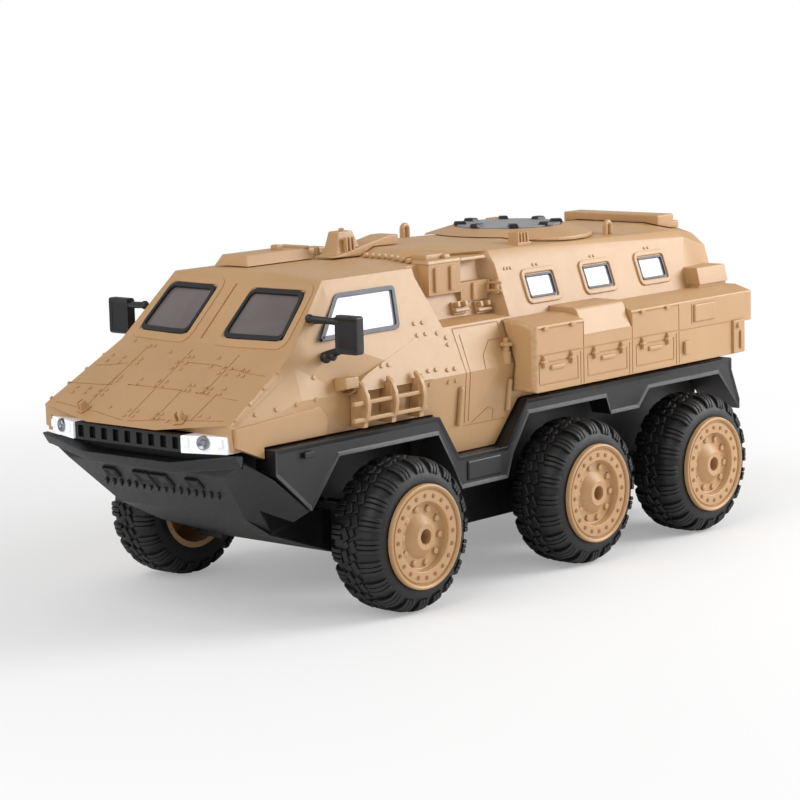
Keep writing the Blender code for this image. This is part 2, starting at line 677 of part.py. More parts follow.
panel_outline = [
    (SILL_LOW_FRONT_X, BELT_Z),
    (PANEL_FRONT_X, BELT_Z),
    (PANEL_LOW_X, PANEL_LOW_Z),
    (PANEL_HIGH_X, PANEL_HIGH_Z),
    (CAB_REAR_LOW_X, LEDGE_Z - WALL),
]
cheek_outline = [
    (CORNER_X - WALL, CHEEK_FRONT_LOW),
    (CORNER_X - WALL, CHEEK_FRONT_TOP),
    (CHEEK_REAR_X, CHEEK_REAR_TOP),
    (CHEEK_TIP_X, CHEEK_TIP_Z),
    (CHEEK_FOOT_X, SILL_Z + SEAM),
    (SKIRT_FRONT_X + SEAM, SILL_Z + SEAM),
    (SKIRT_FRONT_X + SEAM, CHEEK_FOOT_Z),
]
for side_name, side in SIDES.items():
    outer = [(x, side_y(z), z) for x, z in panel_outline]
    inner = [(x, FACET_HALF - WALL, z) for x, z in panel_outline]
    inner = [(x, min(y, side_y(z) - WALL), z) for x, y, z in inner]
    fuse(upper_hull, loft("side_panel_" + side_name, [mirrored(outer, side), mirrored(inner, side)]))
    cheek_low = min(side * (CORNER_HALF - WALL), side * (FACET_HALF + CHEEK_RISE))
    cheek_high = max(side * (CORNER_HALF - WALL), side * (FACET_HALF + CHEEK_RISE))
    fuse(upper_hull, plate("cheek_" + side_name, [cheek_outline], "Y", cheek_low, cheek_high))
    deep = RECESS_HALF - 2 * WALL
    for box_name, front, rear, low, high in (
            ("stowage_high_", STOWAGE_HIGH_FRONT_X, STOWAGE_HIGH_REAR_X, STOWAGE_HIGH_LOW,
             STOWAGE_HIGH_TOP),
            ("stowage_low_", STOWAGE_HIGH_REAR_X, STOWAGE_LOW_REAR_X, STOWAGE_LOW_LOW, STOWAGE_LOW_TOP)):
        lower = (rear, min(side * deep, side * STOWAGE_DEEP), low)
        upper = (front, max(side * deep, side * STOWAGE_DEEP), high)
        fuse(upper_hull, block(box_name + side_name, lower, upper))
    corner_box = [
        (side * (TAIL_EDGE_HALF + WALL), LEDGE_Z + WALL / 2),
        (side * CORNER_BOX_OUTER, LEDGE_Z + WALL / 2),
        (side * (CORNER_BOX_OUTER - WALL), CORNER_BOX_TOP),
        (side * (TAIL_EDGE_HALF + WALL), CORNER_BOX_TOP),
    ]
    fuse(upper_hull, plate("corner_box_" + side_name, [corner_box], "X", CORNER_BOX_REAR_X,
                           CORNER_BOX_FRONT_X))

# Windows: holes straight through both sides, and glazing pushed in from inside

cab_window = [
    (CAB_WINDOW_FRONT_LOW_X, CAB_WINDOW_LOW),
    (CAB_WINDOW_FRONT_TOP_X, CAB_WINDOW_TOP),
    (CAB_WINDOW_REAR_TOP_X, CAB_WINDOW_TOP),
    (CAB_WINDOW_REAR_LOW_X, CAB_WINDOW_LOW),
]
cabin_windows = []
for number in range(CABIN_WINDOWS):
    middle = CABIN_WINDOW_FIRST + number * CABIN_WINDOW_STEP
    front = middle + CABIN_WINDOW_WIDTH / 2
    rear = middle - CABIN_WINDOW_WIDTH / 2
    cabin_windows.append([(front, CABIN_WINDOW_LOW), (front, CABIN_WINDOW_TOP),
                          (rear, CABIN_WINDOW_TOP), (rear, CABIN_WINDOW_LOW)])
for number, outline in enumerate([cab_window] + cabin_windows):
    cut(upper_hull, plate(f"window_hole_{number}", [outline], "Y", -BELT_HALF, BELT_HALF))

screen_pane = [
    (SCREEN_PANE_INNER, SCREEN_PANE_LOW),
    (SCREEN_PANE_OUTER_LOW, SCREEN_PANE_LOW),
    (SCREEN_PANE_OUTER_TOP, SCREEN_PANE_TOP),
    (SCREEN_PANE_INNER, SCREEN_PANE_TOP),
]
for side_name, side in SIDES.items():
    hole = [(side * y, z) for y, z in screen_pane]
    cut(upper_hull, plate("screen_hole_" + side_name, [hole], "X", 0.0, HOOD_BREAK_X + WALL))


def grown(outline, amount):
    """Outline with every corner moved out from the middle by amount each way."""
    middle = [sum(values) / len(outline) for values in zip(*outline)]
    return [tuple(value + amount if value > centre else value - amount
                  for value, centre in zip(point, middle)) for point in outline]


def side_pane(name, outline, shallow, deep, side):
    """Slab behind the leaning side, between two depths along Y."""
    rings = []
    for depth in (shallow, deep):
        rings.append([(x, side * (side_skin(x, z) - depth), z) for x, z in outline])
    return loft(name, rings)


def screen_slab(name, stations, shallow, deep):
    """Slab behind the windscreen through stations of a low and a high point, each (y, z)."""
    rings = []
    for low, high in stations:
        ring = [(screen_skin(*low) - shallow, *low), (screen_skin(*high) - shallow, *high)]
        ring += [(screen_skin(*high) - deep, *high), (screen_skin(*low) - deep, *low)]
        rings.append(ring)
    return loft(name, rings)


backing_start = SKIN_Y + 3 * GAP
backing_end = backing_start + PANE_BACKING
pane_end = backing_start + PANE_BACKING / 2
for side_name, side in SIDES.items():
    glazing = side_pane("cab_glazing_" + side_name, grown(cab_window, BACKING_EDGE),
                        backing_start, backing_end, side)
    glazing.data.materials.append(BRIGHT)
    fuse(glazing, side_pane("cab_pane_" + side_name, grown(cab_window, -GAP), WINDOW_SINK, pane_end, side))
    strip = [cabin_windows[0][0], cabin_windows[0][1], cabin_windows[-1][2], cabin_windows[-1][3]]
    glazing = side_pane("cabin_glazing_" + side_name, grown(strip, BACKING_EDGE),
                        backing_start, backing_end, side)
    glazing.data.materials.append(BRIGHT)
    for number, outline in enumerate(cabin_windows):
        pane_name = f"cabin_pane_{side_name}_{number}"
        fuse(glazing, side_pane(pane_name, grown(outline, -GAP), WINDOW_SINK, pane_end, side))

screen_start = SKIN_X + 3 * GAP
lap = WALL / 2
backing = []
for low_y, high_y in ((-SCREEN_PANE_OUTER_LOW - lap, -SCREEN_PANE_OUTER_TOP - lap),
                      (-KINK_HALF, -KINK_HALF), (KINK_HALF, KINK_HALF),
                      (SCREEN_PANE_OUTER_LOW + lap, SCREEN_PANE_OUTER_TOP + lap)):
    backing.append(((low_y, SCREEN_PANE_LOW - lap), (high_y, SCREEN_PANE_TOP + lap)))
windscreen = screen_slab("windscreen_glazing", backing, screen_start, screen_start + PANE_BACKING)
windscreen.data.materials.append(SMOKED)
for side_name, side in SIDES.items():
    stations = []
    for low_y, high_y in ((SCREEN_PANE_INNER + GAP, SCREEN_PANE_INNER + GAP), (KINK_HALF, KINK_HALF),
                          (SCREEN_PANE_OUTER_LOW - GAP, SCREEN_PANE_OUTER_TOP - GAP)):
        stations.append(((side * low_y, SCREEN_PANE_LOW + GAP), (side * high_y, SCREEN_PANE_TOP - GAP)))
    fuse(windscreen, screen_slab("screen_pane_" + side_name, stations, WINDOW_SINK,
                                 screen_start + PANE_BACKING / 2))

# Lower hull: a black tub with the bow drawn up to the bumper


def plate_z(x, y):
    """Height of the bow's side plate at a place."""
    return BOW_TIP_Z + PLATE_SLOPE * (x - BOW_TIP_X) + PLATE_LEAN * (y - BOW_TIP_LOW_HALF)


def tub_loft(name, inset, rise, material=None):
    """Tub with a square section, chamfered at the bow, drawn in by inset; its rim moves up by rise."""
    mid_drop = BOW_MID_Z - BOW_TIP_Z - PLATE_SLOPE * (BOW_MID_X - BOW_TIP_X)
    chamfers = {
        BOW_TIP_X - inset: (BOW_TIP_LOW_HALF, plate_z(BOW_TIP_X, BOW_TIP_HALF)),
        BOW_MID_X: (BOW_TIP_LOW_HALF + mid_drop / PLATE_LEAN, plate_z(BOW_MID_X, BOW_MID_HALF)),
    }
    stations = (
        (BOW_TIP_X - inset, BOW_TIP_HALF, BOW_TIP_Z),
        (BOW_MID_X, BOW_MID_HALF, BOW_MID_Z),
        (BOW_ROOT_X, TUB_FRONT_HALF, BOW_ROOT_Z),
        (BOW_START_X, TUB_FRONT_HALF, TUB_BOTTOM),
        (TUB_WIDEN_X, TUB_FRONT_HALF, TUB_BOTTOM),
        (TUB_WIDEN_X - 2 * WALL, TUB_REAR_HALF, TUB_BOTTOM),
        (TUB_REAR_X + inset, TUB_REAR_HALF, TUB_BOTTOM),
    )
    rings = []
    for x, half, bottom in stations:
        low_half, chine = chamfers.get(x, (half, bottom + WALL))
        high = TUB_TOP + rise
        width = half - inset
        bow = [(low_half - inset, bottom + inset), (width, chine + inset), (width, high)]
        rings.append([(x, -bow[0][0], bow[0][1])] + [(x, y, z) for y, z in bow]
                     + [(x, -y, z) for y, z in reversed(bow[1:])])
    return loft(name, rings, material)


def wing_ring(x, inner, outer, side):
    """Section of a side plate that stands out from the tub between two half widths."""
    top = plate_z(x, outer) + WING_EDGE
    section = [
        (inner - WALL / 2, plate_z(x, inner) + WALL / 4),
        (inner, plate_z(x, inner)),
        (outer, plate_z(x, outer)),
        (outer, top),
        (inner - WALL / 2, top),
    ]
    return [(x, side * y, z) for y, z in section]


def tub_half(x):
    """Half width of the tub between the middle and the tip of its bow."""
    return BOW_MID_HALF + (BOW_TIP_HALF - BOW_MID_HALF) * (x - BOW_MID_X) / (BOW_TIP_X - BOW_MID_X)


lower_hull = tub_loft("lower_hull", 0.0, 0.0, BLACK)
cut(lower_hull, tub_loft("tub_hollow", WALL, 5 * WALL))
wing_x = SKIRT_FRONT_X + GAP
for side_name, side in SIDES.items():
    rings = [
        wing_ring(BOW_TIP_X, tub_half(BOW_TIP_X), BUMPER_CORNER_HALF, side),
        wing_ring(wing_x, tub_half(wing_x), WING_OUTER, side),
        wing_ring(BOW_MID_X, tub_half(BOW_MID_X), WING_OUTER, side),
        wing_ring(WING_REAR_X, WING_REAR_HALF, WING_OUTER, side),
    ]
    fuse(lower_hull, loft("bow_wing_" + side_name, rings))
for rib_name, rib_x, half in (("front_rib", FRONT_RIB_X, TUB_FRONT_HALF),
                              ("board_rib", BOARD_RIB_X, TUB_REAR_HALF),
                              ("bogie_rib", BOGIE_RIB_X, TUB_REAR_HALF),
                              ("motor_rib", MOTOR_RIB_X, TUB_REAR_HALF)):
    low = (rib_x - RIB_THICKNESS / 2, WALL / 2 - half, TUB_BOTTOM + WALL / 2)
    high = (rib_x + RIB_THICKNESS / 2, half - WALL / 2, RIB_TOP)
    fuse(lower_hull, block(rib_name, low, high))
servo_rear_x = HORN_PIVOT_X - SERVO_SHAFT_INSET
servo_rib_x = servo_rear_x + SERVO_LENGTH + GAP
servo_floor = BOW_ROOT_Z + (servo_rib_x - BOW_ROOT_X) * (BOW_MID_Z - BOW_ROOT_Z) / (BOW_MID_X - BOW_ROOT_X)
fuse(lower_hull, block("servo_rib", (servo_rib_x, WALL / 2 - TUB_FRONT_HALF, servo_floor + RIB_THICKNESS),
                       (servo_rib_x + RIB_THICKNESS, TUB_FRONT_HALF - WALL / 2, SERVO_Z + SERVO_HEIGHT)))
for axle, axle_x in AXLES.items():
    cut(lower_hull, rod(axle + "_axle_hole", (axle_x, -TUB_REAR_HALF - WALL, AXLE_Z),
                        (axle_x, TUB_REAR_HALF + WALL, AXLE_Z), SHAFT_RADIUS + 2 * RUNNING))
cut(lower_hull, rod("worm_shaft_hole", (MOTOR_RIB_X - WALL, 0, WORM_Z), (FRONT_RIB_X + WALL, 0, WORM_Z),
                    SHAFT_RADIUS + 2 * RUNNING))
slot_half = TIE_ROD_WIDTH / 2 + WALL
slot_low = (STEER_ARM - slot_half, -TUB_FRONT_HALF - WALL, TIE_ROD_Z - WALL / 2)
slot_high = (STEER_ARM + slot_half, TUB_FRONT_HALF + WALL, TIE_ROD_Z + TIE_ROD_HEIGHT + WALL / 2)
cut(lower_hull, block("tie_rod_slot", slot_low, slot_high))
cover_half_x = BATTERY_LENGTH / 2 + BATTERY_ROOM
cover_half_y = BATTERY_WIDTH / 2 + BATTERY_ROOM / 2
cut(lower_hull, block("battery_hole", (BATTERY_X - cover_half_x, -cover_half_y, TUB_BOTTOM - WALL),
                      (BATTERY_X + cover_half_x, cover_half_y, TUB_FLOOR + WALL / 4)))
knob_half = SWITCH_KNOB / 2
knob_room = knob_half + GAP
switch_low = (SWITCH_X - knob_room, SWITCH_Y - knob_room, TUB_BOTTOM - WALL)
switch_high = (SWITCH_X + knob_room + SWITCH_TRAVEL, SWITCH_Y + knob_room, TUB_FLOOR + WALL)
cut(lower_hull, block("switch_slot", switch_low, switch_high))

# Black skirts: fascia with the wheel arches, and a flange that joins it to the tub

skirt_top = SILL_Z - SEAM
skirt_outline = [
    (SKIRT_FRONT_X, skirt_top),
    (SKIRT_FRONT_X, 69 * MM),
    (ARCH_FOOT_HALF, ARCH_FOOT_Z),
    (ARCH_HALF, ARCH_TOP),
    (-ARCH_HALF, ARCH_TOP),
    (-43 * MM, 54 * MM),
    (STEP_FRONT_X, STEP_BOTTOM),
    (STEP_REAR_X, STEP_BOTTOM),
    (-84 * MM, 56 * MM),
    (MID_AXLE_X + 26 * MM, ARCH_TOP + WALL / 2),
    (MID_AXLE_X - ARCH_HALF, ARCH_TOP + WALL / 2),
    (TAB_FRONT_X, TAB_BOTTOM),
    (TAB_REAR_X, TAB_BOTTOM),
    (REAR_AXLE_X + 26 * MM, ARCH_TOP + WALL / 2),
    (REAR_AXLE_X - ARCH_HALF, ARCH_TOP + WALL / 2),
    (FLAP_X, FLAP_LOW),
    (FLAP_X, FLAP_TOP),
    (SKIRT_REAR_X, ARCH_TOP + WALL),
    (SKIRT_REAR_X, skirt_top),
    (SILL_REAR_X - SEAM, skirt_top),
    (SILL_LOW_REAR_X - SEAM, SILL_LOW_Z - SEAM),
    (SILL_LOW_FRONT_X + SEAM, SILL_LOW_Z - SEAM),
    (SILL_FRONT_X + SEAM, skirt_top),
]
for side_name, side in SIDES.items():
    near = side * SKIRT_INNER
    far = side * SKIRT_OUTER
    skirt = plate("skirt_" + side_name, [skirt_outline], "Y", min(near, far), max(near, far), BLACK)
    flange_front = [
        (SKIRT_FRONT_X - WALL, BOW_MID_HALF + (SKIRT_FRONT_X - BOW_MID_X) / 2 + GAP),
        (SKIRT_FRONT_X - WALL, SKIRT_INNER + WALL),
        (SKIRT_REAR_X + WALL, SKIRT_INNER + WALL),
        (SKIRT_REAR_X + WALL, TUB_REAR_HALF + GAP),
        (TUB_WIDEN_X + WALL, TUB_REAR_HALF + GAP),
        (TUB_WIDEN_X + WALL, TUB_FRONT_HALF + GAP),
        (BOW_ROOT_X - WALL, TUB_FRONT_HALF + GAP),
        (BOW_MID_X, BOW_MID_HALF + WALL),
    ]
    flange_front = [(x, side * min(y, SKIRT_INNER + WALL)) for x, y in flange_front]
    flange_low = TUB_TOP - SKIRT_FLANGE
    fuse(skirt, plate("skirt_flange_" + side_name, [flange_front], "Z", flange_low, TUB_TOP - GAP))
    flap = [
        (REAR_AXLE_X - ARCH_HALF, ARCH_TOP + WALL),
        (FLAP_X + WALL / 2, FLAP_LOW + WALL),
        (FLAP_X + WALL / 2, FLAP_TOP),
        (SKIRT_REAR_X + WALL / 2, ARCH_TOP + 2 * WALL),
    ]
    reach = [side * (TUB_REAR_HALF + GAP), side * (SKIRT_INNER + WALL)]
    fuse(skirt, plate("skirt_flap_" + side_name, [flap], "Y", min(reach), max(reach)))


def bumper_ring(y, front, rise):
    """Section of the bumper across the hull, raised at its ends."""
    back = BOW_TIP_X + GAP
    low = BUMPER_LOW + rise
    top = BUMPER_TOP + rise
    return [(back, y, low), (front - BUMPER_RAKE, y, low), (front, y, top), (back, y, top)]


loft("front_bumper", [
    bumper_ring(-BUMPER_CORNER_HALF, BUMPER_CORNER_X, BUMPER_SWEEP),
    bumper_ring(-BUMPER_CENTRE_HALF, BUMPER_CENTRE_X, 0.0),
    bumper_ring(BUMPER_CENTRE_HALF, BUMPER_CENTRE_X, 0.0),
    bumper_ring(BUMPER_CORNER_HALF, BUMPER_CORNER_X, BUMPER_SWEEP),
], BLACK)

# Lamps and grille under the hood's lip

for side_name, side in SIDES.items():
    lamp = [
        (LAMP_INNER_X, side * LAMP_INNER),
        (LAMP_OUTER_X, side * LAMP_OUTER),
        (LAMP_OUTER_X - LAMP_DEPTH, side * LAMP_OUTER),
        (LAMP_INNER_X - LAMP_DEPTH, side * LAMP_INNER),
    ]
    plate("headlamp_" + side_name, [lamp], "Z", LAMP_BOTTOM, LAMP_TOP, CLEAR)
grille_half = LAMP_INNER - GAP
grille = block("front_grille", (GRILLE_X - GRILLE_DEPTH, -grille_half, LAMP_BOTTOM),
               (GRILLE_X, grille_half, LAMP_TOP), BLACK)
slot_step = 2 * grille_half / GRILLE_SLOTS
for number in range(GRILLE_SLOTS):
    middle = (number + 0.5) * slot_step - grille_half
    low = (GRILLE_X - GRILLE_DEPTH / 2, middle - GRILLE_SLOT_WIDTH / 2, LAMP_BOTTOM + GRILLE_RAIL)
    high = (GRILLE_X + GRILLE_DEPTH, middle + GRILLE_SLOT_WIDTH / 2, LAMP_TOP - GRILLE_RAIL)
    cut(grille, block(f"grille_slot_{number}", low, high))

# Lockers, racks and mirrors on the sides, cut to fit the body

locker_section = [
    (SKIRT_INNER, LOCKER_BOTTOM),
    (LOCKER_FACE, LOCKER_BOTTOM),
    (LOCKER_FACE, LOCKER_EDGE_Z),
    (LOCKER_FACE - LOCKER_LIP, LOCKER_TOP),
    (SKIRT_INNER, LOCKER_TOP),
]
for side_name, side in SIDES.items():
    section = [(side * y, z) for y, z in locker_section]
    lockers = plate("side_lockers_" + side_name, [section], "X", LOCKER_REAR_X, LOCKER_FRONT_X, SAND)
    inside = [side * SKIRT_INNER / 2, side * (LOCKER_FACE - WALL)]
    room_low = (LOCKER_UNDERCUT_X + WALL, min(inside), LOCKER_BOTTOM + WALL)
    room_high = (LOCKER_FRONT_X - WALL, max(inside), LOCKER_EDGE_Z - 2 * WALL)
    cut(lockers, block("locker_room_" + side_name, room_low, room_high))
    undercut = [side * (SKIRT_OUTER + WALL / 2), side * (LOCKER_FACE + WALL)]
    undercut_low = (LOCKER_REAR_X - WALL, min(undercut), LOCKER_BOTTOM - WALL)
    undercut_high = (LOCKER_UNDERCUT_X, max(undercut), LOCKER_UNDERCUT_Z)
    cut(lockers, block("locker_undercut_" + side_name, undercut_low, undercut_high))
    cut_again(lockers, body_fit)

    bar_low = min(side * (RACK_FACE - RACK_BAR), side * RACK_FACE)
    bar_high = max(side * (RACK_FACE - RACK_BAR), side * RACK_FACE)
    rack = block("side_rack_" + side_name, (RACK_REAR_X, bar_low, RACK_LOW_Z),
                 (RACK_FRONT_X, bar_high, RACK_LOW_Z + RACK_BAR), SAND)
    fuse(rack, block("rack_rail_" + side_name, (RACK_REAR_X, bar_low, RACK_HIGH_Z),
                     (RACK_FRONT_X, bar_high, RACK_HIGH_Z + RACK_BAR)))
    post_step = (RACK_FRONT_X - RACK_REAR_X - 6 * RACK_BAR) / (RACK_POSTS - 1)
    for number in range(RACK_POSTS):
        post_x = RACK_REAR_X + RACK_BAR + number * post_step
        reach = [side * (FACET_HALF - WALL), side * (RACK_FACE - RACK_BAR / 2)]
        fuse(rack, block(f"rack_post_{side_name}_{number}", (post_x, min(reach), RACK_POST_LOW),
                         (post_x + 1.5 * RACK_BAR, max(reach), RACK_POST_TOP)))
    cut_again(rack, body_fit)
    for other in ("side_panel_", "cheek_"):
        guide = bpy.data.objects[other + side_name]
        cut_again(rack, guide)

    head_ends = [side * MIRROR_INNER, side * MIRROR_OUTER]
    head_low = (MIRROR_X - MIRROR_THICKNESS / 2, min(head_ends), MIRROR_LOW)
    head_high = (MIRROR_X + MIRROR_THICKNESS / 2, max(head_ends), MIRROR_HIGH)
    mirror = block("mirror_" + side_name, head_low, head_high, BLACK)
    head_y = side * (MIRROR_INNER + WALL)
    for arm_name, root_z, head_z in (("upper", MIRROR_HIGH - 2 * WALL, MIRROR_HIGH - WALL),
                                     ("lower", MIRROR_LOW - WALL, MIRROR_LOW + WALL)):
        root_y = side * (side_y(root_z) - 2 * WALL)
        fuse(mirror, rod(f"mirror_arm_{arm_name}_{side_name}", (MIRROR_X, root_y, root_z),
                         (MIRROR_X, head_y, head_z), MIRROR_ARM_RADIUS, sides=PIN_SIDES))
    cut_again(mirror, body_fit)

# Roof fittings, cut to fit the roof

hatch_foot = CABIN_EDGE_REAR_Z - WALL
hatch_rings = []
hatch_angles = [2 * math.pi * number / RIM_SIDES for number in range(RIM_SIDES)]
for radius, z in ((HATCH_RADIUS, hatch_foot), (HATCH_RADIUS, CABIN_EDGE_REAR_Z + 2 * WALL),
                  (HATCH_TOP_RADIUS, HATCH_TOP_Z)):
    hatch_rings.append([(HATCH_X + radius * math.cos(angle), radius * math.sin(angle), z)
                        for angle in hatch_angles])
hatch_ring = loft("round_hatch_ring", hatch_rings, SAND)
cut(hatch_ring, rod("lid_seat", (HATCH_X, 0, HATCH_TOP_Z - LID_SEAT), (HATCH_X, 0, HATCH_TOP_Z + WALL),
                    LID_RADIUS + GAP, sides=RIM_SIDES))
cut_again(hatch_ring, body_fit)
rod("round_hatch_lid", (HATCH_X, 0, HATCH_TOP_Z - LID_SEAT + GAP), (HATCH_X, 0, HATCH_TOP_Z + LID_RISE),
    LID_RADIUS, GREY, RIM_SIDES)

roof_beam = block("roof_beam", (BEAM_REAR_X, -BEAM_HALF, hatch_foot),
                  (BEAM_FRONT_X, BEAM_HALF, BEAM_TOP), SAND)
fuse(roof_beam, block("beam_base", (BEAM_BASE_REAR_X, -BEAM_HALF, TAIL_EDGE_Z),
                      (BEAM_FRONT_X - WALL, BEAM_HALF, BEAM_BASE_TOP)))
cut_again(roof_beam, body_fit)
driver_hatch = block("driver_hatch", (DRIVER_HATCH_REAR_X, DRIVER_HATCH_OUTER, ROOF_EDGE_Z - WALL),
                     (DRIVER_HATCH_FRONT_X, DRIVER_HATCH_INNER, DRIVER_HATCH_TOP), SAND)
cut_again(driver_hatch, body_fit)
fairing_outline = [
    (FAIRING_FRONT_X, ROOF_EDGE_Z),
    (FAIRING_FRONT_X, CAB_ROOF_Z + WALL / 2),
    (FAIRING_PEAK_X, FAIRING_TOP),
    (FAIRING_REAR_X, FAIRING_TOP),
    (FAIRING_REAR_X, ROOF_EDGE_Z),
]
roof_fairing = plate("roof_fairing", [fairing_outline], "Y", DRIVER_HATCH_INNER + GAP,
                     DRIVER_HATCH_INNER + FAIRING_WIDTH, SAND)
fuse(roof_fairing, block("sensor_box", (SENSOR_REAR_X, DRIVER_HATCH_INNER + WALL / 2, CAB_ROOF_Z),
                         (SENSOR_FRONT_X, DRIVER_HATCH_INNER + FAIRING_WIDTH - WALL, SENSOR_TOP)))
cut_again(roof_fairing, body_fit)

# Wheels: turned rims and tyres, each on its axle's empty

front_tyre_lip = RIM_FACE - RIM_LIP - GAP
disc_face = RIM_FACE - DISH_DEPTH
disc_back = disc_face - DISC_THICKNESS
barrel_end = TYRE_TREAD_INNER - WALL / 2
rim_outline = [
    (RIM_RADIUS, RIM_FACE),
    (RIM_RADIUS, RIM_FACE - RIM_LIP),
    (RIM_SEAT_RADIUS, RIM_FACE - RIM_LIP),
    (RIM_SEAT_RADIUS, barrel_end),
    (RIM_SEAT_RADIUS - RIM_BARREL_WALL, barrel_end),
    (RIM_SEAT_RADIUS - RIM_BARREL_WALL, disc_back),
    (HUB_RADIUS, disc_back),
    (HUB_RADIUS, disc_back - HUB_LENGTH),
    (SHAFT_RADIUS + RUNNING, disc_back - HUB_LENGTH),
    (SHAFT_RADIUS + RUNNING, disc_face + BOSS_HEIGHT),
    (BOSS_RADIUS, disc_face + BOSS_HEIGHT),
    (BOSS_RADIUS + WALL / 4, disc_face),
    (DISH_RADIUS, disc_face),
    (RIM_RADIUS - RIM_RING, RIM_FACE),
]
flat_radius = TYRE_RADIUS / math.cos(math.pi / TYRE_SIDES)
shoulder_radius = flat_radius - SHOULDER_DROP
wall_radius = (flat_radius + RIM_RADIUS) / 2 - WALL / 2
tyre_outline = [
    (RIM_RADIUS + GAP, front_tyre_lip),
    (wall_radius, front_tyre_lip),
    (shoulder_radius, TYRE_TREAD_OUTER + SIDEWALL_BULGE / 2),
    (flat_radius, TYRE_TREAD_OUTER),
    (flat_radius, TYRE_TREAD_INNER),
    (shoulder_radius, TYRE_TREAD_INNER - SIDEWALL_BULGE / 2),
    (wall_radius, TYRE_TREAD_INNER - SIDEWALL_BULGE),
    (RIM_SEAT_RADIUS + GAP, barrel_end + GAP),
    (RIM_SEAT_RADIUS + GAP, front_tyre_lip),
]

steer_pivots = {}
spin_pivots = {}
for side_name, side in SIDES.items():
    kingpin = (0.0, side * KINGPIN_Y, AXLE_Z)
    steer_pivots[side_name] = pivot("steer_axis_" + side_name, kingpin)
    hub = (0.0, 0.0, AXLE_Z)
    spin_pivots["front_" + side_name] = pivot("front_spin_axis_" + side_name, hub, steer_pivots[side_name])
for axle in AXLES:
    spin_pivots[axle] = pivot(axle + "_spin_axis", (AXLES[axle], 0.0, AXLE_Z))
for axle in AXLES:
    for side_name, side in SIDES.items():
        key = "front_" + side_name if axle == "front" else axle
        turned(f"rim_{axle}_{side_name}", rim_outline, RIM_SIDES, spin_pivots[key], side, SAND)
        turned(f"tyre_{axle}_{side_name}", tyre_outline, TYRE_SIDES, spin_pivots[key], side, RUBBER)

# Axle shafts and worm wheels

for axle in ("mid", "rear"):
    shaft = rod(axle + "_axle_shaft", (AXLES[axle], -SHAFT_END, AXLE_Z), (AXLES[axle], SHAFT_END, AXLE_Z),
                SHAFT_RADIUS, STEEL)
    carry(shaft, spin_pivots[axle])
front_shaft_end = KINGPIN_Y - NECK_LENGTH
front_shaft = rod("front_axle_shaft", (0, -front_shaft_end, AXLE_Z), (0, front_shaft_end, AXLE_Z),
                  SHAFT_RADIUS, STEEL)
fuse(front_shaft, rod("front_shaft_neck", (0, -KINGPIN_Y, AXLE_Z), (0, KINGPIN_Y, AXLE_Z), NECK_RADIUS))
for side_name, side in SIDES.items():
    fuse(front_shaft, ball("shaft_ball_" + side_name, (0, side * KINGPIN_Y, AXLE_Z), BALL_RADIUS))
carry(front_shaft, spin_pivots["front"])

addendum = 0.9 * GEAR_MODULE
dedendum = 1.1 * GEAR_MODULE
tooth_tip = 0.35 * GEAR_MODULE
tooth_root = 0.75 * GEAR_MODULE
for axle, axle_x in AXLES.items():
    rim_points = []
    for tooth in range(WHEEL_TEETH):
        centre = math.pi / 2 + (tooth + 0.5) * 2 * math.pi / WHEEL_TEETH
        for radius, offset in ((WHEEL_PITCH_RADIUS - dedendum, -tooth_root),
                               (WHEEL_PITCH_RADIUS + addendum, -tooth_tip),
                               (WHEEL_PITCH_RADIUS + addendum, tooth_tip),
                               (WHEEL_PITCH_RADIUS - dedendum, tooth_root)):
            angle = centre + offset / radius
            rim_points.append((axle_x + radius * math.cos(angle), AXLE_Z + radius * math.sin(angle)))
    bore = SHAFT_RADIUS + RUNNING
    angles = [2 * math.pi * number / ROUND_SIDES for number in range(ROUND_SIDES)]
    hole = [(axle_x + bore * math.cos(angle), AXLE_Z + bore * math.sin(angle)) for angle in angles]
    wheel = plate(axle + "_worm_wheel", [rim_points, hole], "Y", -GEAR_FACE / 2, GEAR_FACE / 2, NYLON)
    carry(wheel, spin_pivots[axle])


def worm_ring(x, turn):
    """Section of a single-start worm: a round core with one tooth at angle turn."""
    core = WORM_PITCH_RADIUS - dedendum
    tip = WORM_PITCH_RADIUS + addendum
    ring = []
    for degrees, radius in ((0, tip), (36, tip), (80, core), (115, core), (150, core), (180, core),
                            (210, core), (245, core), (280, core), (324, tip)):
        angle = turn + math.radians(degrees)
        ring.append((x, radius * math.cos(angle), WORM_Z + radius * math.sin(angle)))
    return ring


def plain_ring(x, radius, turn):
    """Round section of the shaft, with as many points as the worm's."""
    angles = [turn + number * math.pi / 5 for number in range(10)]
    return [(x, radius * math.cos(angle), WORM_Z + radius * math.sin(angle)) for angle in angles]


motor_rib_rear = MOTOR_RIB_X - RIB_THICKNESS / 2
worm_rings = [plain_ring(motor_rib_rear - MOTOR_BORE_DEPTH, MOTOR_JOURNAL_RADIUS, 0.0),
              plain_ring(motor_rib_rear, MOTOR_JOURNAL_RADIUS, 0.0),
              plain_ring(motor_rib_rear + GAP, SHAFT_RADIUS, 0.0)]
half_worm = WORM_TURNS * WORM_PITCH / 2
start_turn = -math.pi / 2 - WORM_TURNS * math.pi
end_turn = start_turn + WORM_TURNS * 2 * math.pi
for axle_x in sorted(AXLES.values()):
    worm_start = axle_x - half_worm
    worm_rings.append(plain_ring(worm_start - GAP, SHAFT_RADIUS, start_turn))
    for step in range(WORM_TURNS * WORM_STEPS + 1):
        share = step / WORM_STEPS
        worm_rings.append(worm_ring(worm_start + share * WORM_PITCH, start_turn + share * 2 * math.pi))
    worm_rings.append(plain_ring(axle_x + half_worm + GAP, SHAFT_RADIUS, end_turn))
worm_rings.append(plain_ring(STEER_ARM - slot_half - 2 * GAP, SHAFT_RADIUS, start_turn))
worm_shaft = loft("worm_shaft", worm_rings, STEEL)
